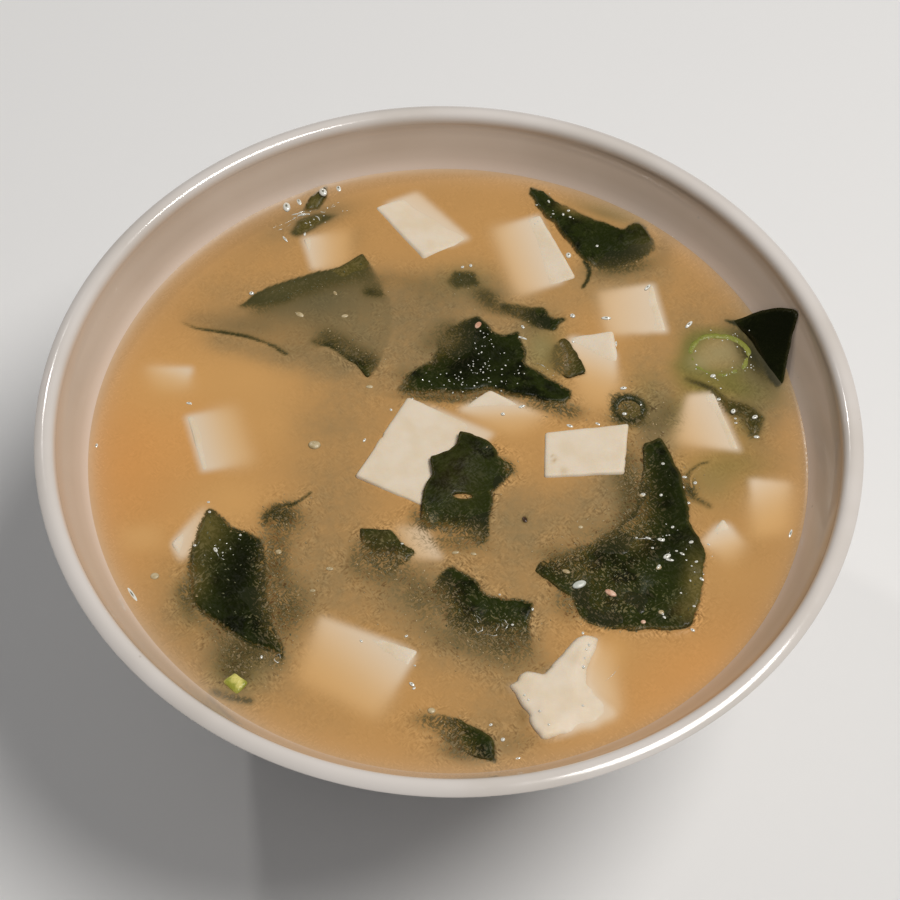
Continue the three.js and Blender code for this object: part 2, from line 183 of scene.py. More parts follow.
def inside(outline: Array, x: Array, y: Array) -> Array:
    """Tell which places lie inside a closed outline.

    Args:
        outline: Points of x and y.
        x: The places, across.
        y: The places, away.

    Returns:
        True for each place inside.
    """
    odd = np.zeros(x.shape, dtype=bool)
    for (ax, ay), (bx, by) in zip(outline, np.roll(outline, -1, axis=0)):
        if ay == by:
            continue
        crosses = (ay > y) != (by > y)
        odd ^= crosses & (x < ax + (bx - ax) * (y - ay) / (by - ay))
    return odd


def from_line(line: Array, x: Array, y: Array) -> Array:
    """The distance from each place to the nearest part of an open line.

    Args:
        line: The line's points, x and y.
        x: The places, across.
        y: The places, away.

    Returns:
        The distance of each place.
    """
    nearest = np.full(x.shape, 1e9)
    for a, b in zip(line[:-1], line[1:]):
        side = b - a
        length = max(float(side @ side), 1e-9)
        t = np.clip(((x - a[0]) * side[0] + (y - a[1]) * side[1]) / length, 0, 1)
        nearest = np.minimum(nearest, np.hypot(x - a[0] - t * side[0], y - a[1] - t * side[1]))
    return nearest


def away_from(outline: Array, x: Array, y: Array) -> Array:
    """The distance from each place to the nearest side of a closed outline."""
    return from_line(np.vstack([outline, outline[:1]]), x, y)


@dataclass(frozen=True)
class Blot:
    """A soft oval patch: its middle, its half sizes, its strength and its turn in degrees."""

    x: float
    y: float
    across: float
    away: float
    strength: float = 1.0
    turn: float = 0.0

    def over(self, x: Array, y: Array) -> Array:
        """How strong the patch is at each place.

        Args:
            x: The places, across.
            y: The places, away.

        Returns:
            The strength at each place.
        """
        angle = math.radians(self.turn)
        dx, dy = x - self.x, y - self.y
        u = (dx * math.cos(angle) + dy * math.sin(angle)) / self.across
        v = (dy * math.cos(angle) - dx * math.sin(angle)) / self.away
        return self.strength * np.exp(-(u * u + v * v))


@dataclass(frozen=True)
class Stroke:
    """A soft line through some points: how far it reaches to each side, and its strength."""

    points: tuple[Place, ...]
    reach: float
    strength: float = 1.0

    def over(self, x: Array, y: Array) -> Array:
        """How strong the line is at each place."""
        far = from_line(np.array(self.points, dtype=float), x, y) / self.reach
        return self.strength * np.exp(-far * far)


def blots(*rows: tuple[float, ...]) -> tuple[Blot, ...]:
    """Make soft patches from rows of their middle, half sizes, strength and turn."""
    return tuple(Blot(*row) for row in rows)


def gathered(marks: Sequence[Blot | Stroke], x: Array, y: Array) -> Array:
    """Lay soft marks over each other.

    Args:
        marks: The marks.
        x: The places, across.
        y: The places, away.

    Returns:
        From 0, where there is no mark, to 1.
    """
    left = np.ones_like(x, dtype=float)
    for mark in marks:
        left *= 1 - np.clip(mark.over(x, y), 0, 1)
    return 1 - left


def torn(corners: Array, step: float, roundness: float, tear: float, seed: float) -> Array:
    """Walk round the corners of a leaf, round them a little and tear the edge.

    Args:
        corners: The corners of the outline, x and y.
        step: The distance between points of the result.
        roundness: How far the corners are smoothed.
        tear: How far the torn edge strays.
        seed: Picks one tear out of many.

    Returns:
        The outline's points, x and y.
    """
    ring = np.vstack([corners, corners[:1]])
    lengths = np.hypot(*np.diff(ring, axis=0).T)
    walked = np.concatenate([[0], np.cumsum(lengths)])
    count = max(12, int(walked[-1] / step))
    at = np.linspace(0, walked[-1], count, endpoint=False)
    points = np.c_[np.interp(at, walked, ring[:, 0]), np.interp(at, walked, ring[:, 1])]
    for _ in range(max(0, round(roundness / step))):
        points = 0.5 * points + 0.25 * (np.roll(points, 1, axis=0) + np.roll(points, -1, axis=0))
    along = np.roll(points, -1, axis=0) - np.roll(points, 1, axis=0)
    normal = np.c_[along[:, 1], -along[:, 0]] / np.maximum(np.hypot(*along.T), 1e-6)[:, None]
    stray = ripple(*points.T, 1.9, seed) + 0.5 * ripple(*points.T, 0.7, seed + 1)
    return points + normal * (tear * stray)[:, None]


def triangulate(outline: Array, holes: Sequence[Array], cell: float, seed: int) -> tuple[Array, Array]:
    """Fill an outline with even triangles.

    Args:
        outline: The outline's points, x and y.
        holes: The outlines of any holes.
        cell: The spacing of the points inside.
        seed: Fixes the small scatter of the points inside.

    Returns:
        The points and the triangles.
    """
    loops = [outline, *holes]
    low, high = outline.min(axis=0), outline.max(axis=0)
    draw = np.random.default_rng(seed)
    columns = np.arange(low[0], high[0], cell)
    rows = np.arange(low[1], high[1], cell * 0.87)
    gx, gy = np.meshgrid(columns, rows)
    gx = gx + np.where(np.arange(len(rows)) % 2, cell / 2, 0)[:, None]
    gx = gx.ravel() + draw.uniform(-0.12, 0.12, gx.size) * cell
    gy = gy.ravel() + draw.uniform(-0.12, 0.12, gx.size) * cell
    keep = inside(outline, gx, gy) & (away_from(outline, gx, gy) > cell * 0.55)
    for hole in holes:
        keep &= ~inside(hole, gx, gy) & (away_from(hole, gx, gy) > cell * 0.45)
    points = np.vstack([*loops, np.c_[gx[keep], gy[keep]]])
    edges, start = [], 0
    for loop in loops:
        count = len(loop)
        edges += [(start + i, start + (i + 1) % count) for i in range(count)]
        start += count
    made = geometry.delaunay_2d_cdt([Vector(p) for p in points], edges, [], 0, 1e-5)
    flat = np.array([tuple(v) for v in made[0]])
    faces = np.array([f for f in made[2] if len(f) == 3])
    middle = flat[faces].mean(axis=1)
    good = inside(outline, middle[:, 0], middle[:, 1])
    for hole in holes:
        good &= ~inside(hole, middle[:, 0], middle[:, 1])
    return flat, faces[good]


def make_object(name: str, points: Array, faces: Sequence[Sequence[int]]) -> Piece:
    """Make a smoothly shaded object at the origin from points in millimetres.

    Args:
        name: The object's name.
        points: The points in millimetres, standing on the floor at z 0.
        faces: The faces, as lists of point numbers.

    Returns:
        The new object.
    """
    mesh = bpy.data.meshes.new(name)
    mesh.from_pydata((np.asarray(points) * MM).tolist(), [], [list(map(int, f)) for f in faces])
    mesh.validate()
    mesh.polygons.foreach_set("use_smooth", [True] * len(mesh.polygons))
    mesh.update()
    made = bpy.data.objects.new(name, mesh)
    bpy.context.scene.collection.objects.link(made)
    return made


def put_attribute(piece: Piece, name: str, values: Array) -> None:
    """Store one number for each point of a piece, for its material to read."""
    layer = piece.data.attributes.new(name, "FLOAT", "POINT")
    layer.data.foreach_set("value", np.asarray(values, dtype=np.float32))


def dress(piece: Piece, material: Material | None, node: str = "") -> Piece:
    """Give a piece its material and its place in the frame.

    Args:
        piece: The piece.
        material: Its material, or none where the mesh already has one.
        node: The node of the frame that it stands for, if any.

    Returns:
        The piece.
    """
    if material is not None:
        piece.data.materials.append(material)
    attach(piece, ROOT)
    if node:
        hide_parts(node)
    log.info("%s: %d faces", piece.name, len(piece.data.polygons))
    return piece


def boundary_of(faces: Array) -> list[tuple[int, int]]:
    """Find the edges of a mesh of triangles.

    Args:
        faces: The triangles.

    Returns:
        The directed edges that only one triangle uses.
    """
    seen: dict[tuple[int, int], tuple[int, int]] = {}
    for a, b, c in faces:
        for p, q in ((a, b), (b, c), (c, a)):
            key = (min(p, q), max(p, q))
            if key in seen:
                del seen[key]
            else:
                seen[key] = (int(p), int(q))
    return list(seen.values())


# ------------------------------------------------------------------ materials


class Sheet:
    """A node tree of a material, with short calls that add a node and link it."""

    def __init__(self, name: str) -> None:
        """Make the material and keep its shader and its coordinates in millimetres.

        Args:
            name: The material's name.
        """
        self.material = bpy.data.materials.new(name)
        self.material.use_nodes = True
        self.tree = self.material.node_tree
        self.shader = self.tree.nodes["Principled BSDF"]
        coordinates = self.tree.nodes.new("ShaderNodeTexCoord")
        scale = self.tree.nodes.new("ShaderNodeVectorMath")
        scale.operation = "SCALE"
        scale.inputs["Scale"].default_value = 1.0 / MM
        self.tree.links.new(coordinates.outputs["Object"], scale.inputs[0])
        self.place = scale.outputs[0]

    def link(self, source: Socket | float | tuple, socket: Socket) -> None:
        """Link a socket to another, or set its value.

        Args:
            source: A socket, a number, a screen colour of 0 to 255, or a linear colour with its alpha.
            socket: What takes it.
        """
        if isinstance(source, Socket):
            self.tree.links.new(source, socket)
        else:
            screen_colour = isinstance(source, tuple) and len(source) == 3
            socket.default_value = srgb(*source) if screen_colour else source

    def read(self, name: str) -> Socket:
        """Read an attribute of the piece as a number.

        Args:
            name: The attribute's name.

        Returns:
            The number.
        """
        node = self.tree.nodes.new("ShaderNodeAttribute")
        node.attribute_name = name
        return node.outputs["Fac"]

    def noise(self, per_mm: float, detail: float = 2.0, roughness: float = 0.5, stretch: tuple | None = None,
              turn: float = 0.0, curl: float = 0.0) -> Socket:
        """Add noise, stretched along an axis and turned if asked.

        Args:
            per_mm: How many humps there are for each millimetre.
            detail: How many finer layers there are.
            roughness: How strong the finer layers are.
            stretch: The share of the humps along each axis.
            turn: The turn about the vertical, in degrees.
            curl: How far the humps are bent.

        Returns:
            The noise, from 0 to 1.
        """
        node = self.tree.nodes.new("ShaderNodeTexNoise")
        node.inputs["Scale"].default_value = per_mm
        node.inputs["Detail"].default_value = detail
        node.inputs["Roughness"].default_value = roughness
        node.inputs["Distortion"].default_value = curl
        place = self.place
        if stretch is not None:
            mapping = self.tree.nodes.new("ShaderNodeMapping")
            mapping.vector_type = "TEXTURE"
            mapping.inputs["Scale"].default_value = tuple(1.0 / share for share in stretch)
            mapping.inputs["Rotation"].default_value = (0.0, 0.0, math.radians(turn))
            self.tree.links.new(self.place, mapping.inputs["Vector"])
            place = mapping.outputs[0]
        self.tree.links.new(place, node.inputs["Vector"])
        return node.outputs["Fac"]

    def cells(self, per_mm: float) -> tuple[Socket, Socket]:
        """Add cells.

        Args:
            per_mm: How many there are for each millimetre.

        Returns:
            The distance from a cell's middle, and the cell's random colour.
        """
        node = self.tree.nodes.new("ShaderNodeTexVoronoi")
        node.inputs["Scale"].default_value = per_mm
        self.tree.links.new(self.place, node.inputs["Vector"])
        return node.outputs["Distance"], node.outputs["Color"]

    def math(self, operation: str, *values: Socket | float) -> Socket:
        """Add one step of arithmetic.

        Args:
            operation: Its name in Blender.
            values: Up to three values.

        Returns:
            The result.
        """
        node = self.tree.nodes.new("ShaderNodeMath")
        node.operation = operation
        for value, socket in zip(values, node.inputs):
            self.link(value, socket)
        return node.outputs[0]

    def times(self, first: Socket | float, second: Socket | float) -> Socket:
        """Multiply two values."""
        return self.math("MULTIPLY", first, second)

    def plus(self, first: Socket | float, second: Socket | float) -> Socket:
        """Add two values."""
        return self.math("ADD", first, second)

    def minus(self, first: Socket | float, second: Socket | float) -> Socket:
        """Take the second value from the first."""
        return self.math("SUBTRACT", first, second)

    def ramp(self, value: Socket | float, low: float, high: float, start: float = 0.0,
             end: float = 1.0) -> Socket:
        """Rise smoothly as a value goes from low to high.

        Args:
            value: The value.
            low: Where the rise begins.
            high: Where the rise ends.
            start: The result at low.
            end: The result at high.

        Returns:
            The result.
        """
        node = self.tree.nodes.new("ShaderNodeMapRange")
        node.interpolation_type = "SMOOTHSTEP"
        for number, socket in zip((low, high, start, end), node.inputs[1:5]):
            socket.default_value = number
        self.link(value, node.inputs[0])
        return node.outputs[0]

    def mix(self, first: object, second: object, share: object, blend: str = "MIX") -> Socket:
        """Mix two colours.

        Args:
            first: The colour where the share is 0.
            second: The colour where the share is 1.
            share: The share, from 0 to 1.
            blend: How they mix.

        Returns:
            The mixed colour.
        """
        node = self.tree.nodes.new("ShaderNodeMix")
        node.data_type = "RGBA"
        node.blend_type = blend
        self.link(share, node.inputs[0])
        self.link(first, node.inputs[6])
        self.link(second, node.inputs[7])
        return node.outputs[2]

    def bump(self, height: Socket, depth: float, strength: float) -> None:
        """Give the surface a relief.

        Args:
            height: The relief, from 0 to 1.
            depth: Its depth in millimetres.
            strength: How strongly it shades the surface.
        """
        node = self.tree.nodes.new("ShaderNodeBump")
        node.inputs["Strength"].default_value = strength
        node.inputs["Distance"].default_value = depth * MM
        self.tree.links.new(height, node.inputs["Height"])
        self.tree.links.new(node.outputs[0], self.shader.inputs["Normal"])

    def finish(self, colour: object, roughness: object, specular: float = 0.5, coat: float = 0.0,
               coat_roughness: float = 0.03) -> Material:
        """Set the colour and gloss of the surface.

        Args:
            colour: The colour.
            roughness: How matt the surface is.
            specular: How strongly it mirrors.
            coat: How strong the clear coat is.
            coat_roughness: How matt the clear coat is.

        Returns:
            The material.
        """
        self.link(colour, self.shader.inputs["Base Color"])
        self.link(roughness, self.shader.inputs["Roughness"])
        self.shader.inputs["Specular IOR Level"].default_value = specular
        self.shader.inputs["Coat Weight"].default_value = coat
        self.shader.inputs["Coat Roughness"].default_value = coat_roughness
        return self.material


@dataclass(frozen=True)
class Glaze:
    """The bowl's warm white glaze, with painted shade and painted broth reflection inside, and bare clay
    under the foot.
    """

    body: Colour = (222, 215, 209)
    # The inside tones hold painted shade and a painted warm reflection of the broth.
    inside: Colour = (203, 184, 166)
    body_cloud: Colour = (212, 204, 196)
    inside_cloud: Colour = (196, 176, 157)
    pit: Colour = (176, 164, 152)
    # A painted highlight band on the inside, just above the broth.
    shore: Colour = (230, 211, 195)
    clay: Colour = (206, 188, 164)

    def material(self) -> Material:
        """Glossy, with faint cloudiness and a few fine pits.

        Returns:
            The material.
        """
        sheet = Sheet("glaze")
        cloud = sheet.ramp(sheet.noise(0.05, 3.0), 0.35, 0.7)
        outer = sheet.mix(self.body, self.body_cloud, cloud)
        # Inside, the glaze's tone is painted shade and a painted warm reflection of the broth.
        shaded_inner = sheet.mix(self.inside, self.inside_cloud, cloud)
        # The band just above the broth is a painted highlight.
        shaded_inner = sheet.mix(shaded_inner, self.shore, sheet.read("shore"))
        colour = sheet.mix(outer, shaded_inner, sheet.read("within"))
        distance, random = sheet.cells(0.35)
        pit = sheet.times(sheet.ramp(distance, 0.10, 0.05), sheet.ramp(random, 0.78, 0.8))
        colour = sheet.mix(colour, self.pit, sheet.times(pit, 0.5))
        bare = sheet.read("bare")
        colour = sheet.mix(colour, self.clay, bare)
        wave = sheet.noise(0.12, 2.0)
        speckle = sheet.times(sheet.noise(3.0, 3.0), sheet.times(bare, 0.6))
        height = sheet.plus(sheet.minus(wave, sheet.times(pit, 0.2)), speckle)
        sheet.bump(height, 0.12, 0.35)
        gloss = sheet.ramp(sheet.noise(0.3, 2.0), 0.3, 0.7, 0.10, 0.2)
        gloss = sheet.math("MAXIMUM", gloss, sheet.times(bare, 0.8))
        return sheet.finish(colour, gloss, coat=0.5, coat_roughness=0.04)


@dataclass(frozen=True)
class BrothFinish:
    """Cloudy broth, and how tofu and leaves look through it."""

    clear: Colour = (195, 148, 89)
    taupe: Colour = (146, 123, 84)
    olive: Colour = (116, 110, 50)
    pith: Colour = (164, 150, 106)
    murk: Colour = (106, 96, 66)
    amber: Colour = (208, 148, 82)
    gold: Colour = (209, 160, 97)
    veiled: Colour = (222, 182, 128)
    tofu: Colour = (226, 208, 184)
    leaf: Colour = (30, 34, 6)
    thin_leaf: Colour = (84, 78, 42)
    half_leaf: Colour = (86, 75, 34)
    pale_fleck: Colour = (158, 136, 98)
    # The painted reflection of the bowl's wall along the shore.
    shore: Colour = (200, 178, 152)
    dark_fleck: tuple[float, ...] = (0.28, 0.24, 0.17, 1.0)
    light_fleck: tuple[float, ...] = (1.72, 1.76, 1.83, 1.0)

    def grit(self, sheet: Sheet) -> Socket:
        """The grain of the miso, the same in every material that it lies over.

        Args:
            sheet: The material's nodes.

        Returns:
            The grain, from 0 to 1.
        """
        one_way = sheet.noise(1.0, 1.0, 0.5, (3.3, 1.5, 2.0), 38.0, 0.5)
        other_way = sheet.noise(1.0, 1.0, 0.5, (3.3, 1.5, 2.0), -48.0, 0.5)
        choice = sheet.ramp(sheet.noise(0.55, 1.0), 0.42, 0.58)
        streaks = sheet.math("MULTIPLY_ADD", sheet.minus(other_way, one_way), choice, one_way)
        return sheet.ramp(streaks, 0.25, 0.75)

    def open_broth(self, sheet: Sheet, grit: Socket) -> Socket:
        """The colour of the broth where nothing shows through.

        Args:
            sheet: The material's nodes.
            grit: The grain of the miso.

        Returns:
            The colour.
        """
        drift = sheet.minus(sheet.noise(0.09, 3.0, 0.6), 0.5)
        lumps = sheet.minus(sheet.noise(0.75, 2.0, 0.6), 0.5)
        grain = sheet.read("grain")
        cloud = sheet.math("MULTIPLY_ADD", drift, 0.45, sheet.read("cloud"))
        cloud = sheet.math("MULTIPLY_ADD", sheet.times(lumps, sheet.read("cloud")), 0.7, cloud)
        colour = sheet.mix(self.clear, self.amber, sheet.read("amber"))
        colour = sheet.mix(colour, self.taupe, sheet.ramp(cloud, -0.05, 1.0))
        colour = sheet.mix(colour, self.olive, sheet.read("green"))
        colour = sheet.mix(colour, self.pith, sheet.read("pith"))
        colour = sheet.mix(colour, self.murk, sheet.read("murk"))
        patches = sheet.ramp(sheet.noise(0.38, 2.0, 0.6), 0.36, 0.62, 0.25, 1.25)
        contrast = sheet.times(sheet.math("MULTIPLY_ADD", grain, 1.15, 0.03), patches)
        share = sheet.math("MULTIPLY_ADD", sheet.minus(grit, 0.5), contrast, 0.5)
        fleck = sheet.mix(self.dark_fleck, self.light_fleck, share)
        lift = sheet.mix((0.0, 0.0, 0.0, 1.0), (2.0, 2.0, 2.0, 1.0), sheet.times(sheet.read("lift"), 0.5))
        return sheet.mix(sheet.mix(colour, fleck, 1.0, "MULTIPLY"), lift, 1.0, "MULTIPLY")

    def with_tofu(self, sheet: Sheet, broth: object, tofu: object, seen: object) -> Socket:
        """Show tofu through the broth: golden where it is deep, cream where it is near.

        Args:
            sheet: The material's nodes.
            broth: The colour of the broth.
            tofu: The colour of the tofu.
            seen: How clearly it shows, from 0 to 1.

        Returns:
            The colour.
        """
        clear = sheet.ramp(sheet.read("cloud"), 0.1, 0.75, 1.0, 0.1)
        golden = sheet.mix(broth, self.gold, sheet.times(sheet.ramp(seen, 0.0, 0.4), clear))
        colour = sheet.mix(golden, self.veiled, sheet.ramp(seen, 0.15, 0.7))
        return sheet.mix(colour, tofu, sheet.ramp(seen, 0.4, 0.95))

    def with_leaf(self, sheet: Sheet, broth: object, leaf: object, seen: object, grit: object) -> Socket:
        """Show a leaf through the broth, stippled by the miso where it is half seen.

        Args:
            sheet: The material's nodes.
            broth: The colour of the broth.
            leaf: The colour of the leaf.
            seen: How clearly it shows, from 0 to 1.
            grit: The grain of the miso.

        Returns:
            The colour.
        """
        half = sheet.times(seen, sheet.minus(1.0, seen))
        reach = sheet.times(half, sheet.math("MULTIPLY_ADD", sheet.read("grain"), 3.3, 0.5))
        stipple = sheet.math("MULTIPLY_ADD", sheet.minus(grit, 0.5), reach, seen)
        colour = sheet.mix(broth, self.half_leaf, sheet.ramp(stipple, 0.03, 0.75))
        colour = sheet.mix(colour, leaf, sheet.ramp(stipple, 0.3, 1.0))
        rough = sheet.times(sheet.times(half, 2.6), sheet.read("grain"))
        return sheet.mix(colour, self.pale_fleck, sheet.times(sheet.ramp(grit, 0.58, 0.9), rough))

    def material(self) -> Material:
        """Paint the surface of the broth with what shows through it.

        Returns:
            The material.
        """
        sheet = Sheet("broth")
        grit = self.grit(sheet)
        colour = self.open_broth(sheet, grit)
        clear = sheet.ramp(sheet.read("cloud"), 0.1, 0.75, 1.0, 0.2)
        colour = sheet.mix(colour, self.gold, sheet.times(sheet.read("glow"), clear))
        block = self.with_tofu(sheet, colour, self.tofu, sheet.read("tofu_seen"))
        colour = sheet.mix(colour, block, sheet.read("tofu_cover"))
        leaf = sheet.mix(self.leaf, self.thin_leaf, sheet.read("olive"))
        colour = self.with_leaf(sheet, colour, leaf, sheet.read("leaf_seen"), grit)
        # A painted reflection of the bowl's wall along the shore, which is also more matt.
        shore = sheet.read("shore")
        colour = sheet.mix(colour, self.shore, shore)
        sheet.bump(sheet.times(grit, sheet.read("grain")), 0.03, 0.3)
        gloss = sheet.math("MULTIPLY_ADD", shore, 0.45, sheet.math("MULTIPLY_ADD", grit, 0.12, 0.12))
        return sheet.finish(colour, gloss, specular=0.4)


@dataclass(frozen=True)
class TofuFinish:
    """Moist creamy tofu, veiled by the broth where it dips below."""

    body: Colour = (228, 213, 191)
    shade: Colour = (222, 204, 176)
    stain: Colour = (186, 156, 108)
    broth: BrothFinish = field(default_factory=BrothFinish)

    def material(self) -> Material:
        """Soft and smooth, with fine pores.

        Returns:
            The material.
        """
        sheet = Sheet("tofu")
        soft = sheet.noise(0.25, 3.0)
        pore = sheet.noise(2.6, 3.0, 0.6)
        own = sheet.mix(self.body, self.shade, sheet.ramp(soft, 0.35, 0.75))
        own = sheet.mix(own, self.stain, sheet.read("stain"))
        grit = self.broth.grit(sheet)
        colour = self.broth.with_tofu(sheet, self.broth.open_broth(sheet, grit), own, sheet.read("tofu_seen"))
        sheet.bump(sheet.plus(pore, sheet.times(soft, 2.0)), 0.05, 0.3)
        sheet.shader.inputs["Subsurface Weight"].default_value = 0.2
        sheet.shader.inputs["Subsurface Radius"].default_value = (1.0, 0.65, 0.35)
        sheet.shader.inputs["Subsurface Scale"].default_value = 1.0 * MM
        return sheet.finish(colour, sheet.ramp(pore, 0.3, 0.7, 0.42, 0.58), specular=0.3)


@dataclass(frozen=True)
class WakameFinish:
    """Wet, nearly black seaweed, olive where it is thin, stippled with miso where it dips."""

    body: Colour = (36, 43, 9)
    dark: Colour = (13, 16, 0)
    vein: Colour = (54, 62, 20)
    fleck: Colour = (104, 102, 64)
    thin: Colour = (106, 94, 48)
    broth: BrothFinish = field(default_factory=BrothFinish)

    def material(self) -> Material:
        """Paint the leaf by its thickness and by how clearly it shows.

        Returns:
            The material.
        """
        sheet = Sheet("wakame")
        grit = self.broth.grit(sheet)
        blotch = sheet.noise(0.22, 3.0, 0.6)
        colour = sheet.mix(self.body, self.dark, sheet.ramp(blotch, 0.55, 0.35))
        colour = sheet.mix(colour, self.vein, sheet.ramp(sheet.noise(0.9, 4.0, 0.65), 0.54, 0.8, 0.0, 0.8))
        patches = sheet.ramp(sheet.noise(0.45, 2.0, 0.6), 0.42, 0.6, 0.1, 1.0)
        speckled = sheet.times(sheet.math("MULTIPLY_ADD", sheet.read("speckle"), 0.85, 0.12), patches)
        colour = sheet.mix(colour, self.fleck, sheet.times(sheet.ramp(grit, 0.66, 0.9), speckled))
        # Dark patches: the deeper tone of some leaves, and painted shade on the upright leaf.
        colour = sheet.mix(colour, self.dark, sheet.read("dark"))
        rim = sheet.times(sheet.ramp(sheet.read("from_edge"), 0.6, 0.05), sheet.read("pale_edge"))
        rim = sheet.times(rim, sheet.ramp(sheet.read("leaf_seen"), 0.5, 1.0))
        olive = sheet.math("MAXIMUM", rim, sheet.read("olive"))
        patchy = sheet.times(olive, sheet.ramp(grit, 0.35, 0.6, 0.75, 1.0))
        colour = sheet.mix(colour, self.thin, patchy)
        open_broth = self.broth.open_broth(sheet, grit)
        colour = sheet.mix(colour, open_broth, sheet.read("film"))
        colour = self.broth.with_leaf(sheet, open_broth, colour, sheet.read("leaf_seen"), grit)
        wrinkle = sheet.noise(0.7, 4.0, 0.6)
        sheet.bump(sheet.plus(wrinkle, sheet.times(grit, 0.15)), 0.2, 0.3)
        return sheet.finish(colour, sheet.ramp(grit, 0.3, 0.7, 0.22, 0.4), specular=0.12)


@dataclass(frozen=True)
class ScallionFinish:
    """Wet scallion: green outside, paler within, veiled by the broth where it dips."""

    outside: Colour = (126, 130, 58)
    within: Colour = (170, 164, 104)
    broth: BrothFinish = field(default_factory=BrothFinish)

    def material(self, name: str) -> Material:
        """Read how deep in the wall of the stem a point lies.

        Args:
            name: The material's name.

        Returns:
            The material.
        """
        sheet = Sheet(name)
        grit = self.broth.grit(sheet)
        fibre = sheet.noise(1.1, 3.0, 0.6, (3.0, 3.0, 0.5))
        own = sheet.mix(self.outside, self.within, sheet.ramp(sheet.read("within"), 0.1, 0.9))
        own = sheet.mix(own, self.outside, sheet.ramp(fibre, 0.45, 0.75, 0.0, 0.5))
        open_broth = self.broth.open_broth(sheet, grit)
        colour = self.broth.with_leaf(sheet, open_broth, own, sheet.read("leaf_seen"), grit)
        sheet.bump(sheet.plus(fibre, grit), 0.08, 0.5)
        return sheet.finish(colour, roughness=0.28, specular=0.25)


@dataclass(frozen=True)
class FoamGlintFinish:
    """Tiny bubbles: a painted highlight ring round a grey middle, and painted shade at the foot."""

    bright: Colour = (232, 232, 222)
    middle: Colour = (112, 108, 88)
    foot: Colour = (88, 82, 60)

    def material(self) -> Material:
        """Read how far out from the middle of its bubble a point is.

        Returns:
            The material.
        """
        sheet = Sheet("foam")
        out = sheet.read("out")
        # The bright ring is a painted highlight and the dark foot is painted shade.
        colour = sheet.mix(self.middle, self.bright, sheet.ramp(out, 0.12, 0.42))
        colour = sheet.mix(colour, self.foot, sheet.ramp(out, 0.8, 1.0))
        return sheet.finish(colour, roughness=0.08, specular=0.8, coat=0.5)


def speck_material(name: str, light: Colour, dark: Colour) -> Material:
    """A mottled matt finish for crumbs and grains.

    Args:
        name: The material's name.
        light: The paler tone.
        dark: The deeper tone.

    Returns:
        The material.
    """
    sheet = Sheet(name)
    colour = sheet.mix(light, dark, sheet.ramp(sheet.noise(0.9, 3.0), 0.4, 0.65))
    sheet.bump(sheet.noise(2.0, 3.0), 0.1, 0.5)
    return sheet.finish(colour, roughness=0.3)


# ------------------------------------------------------------------ the bowl


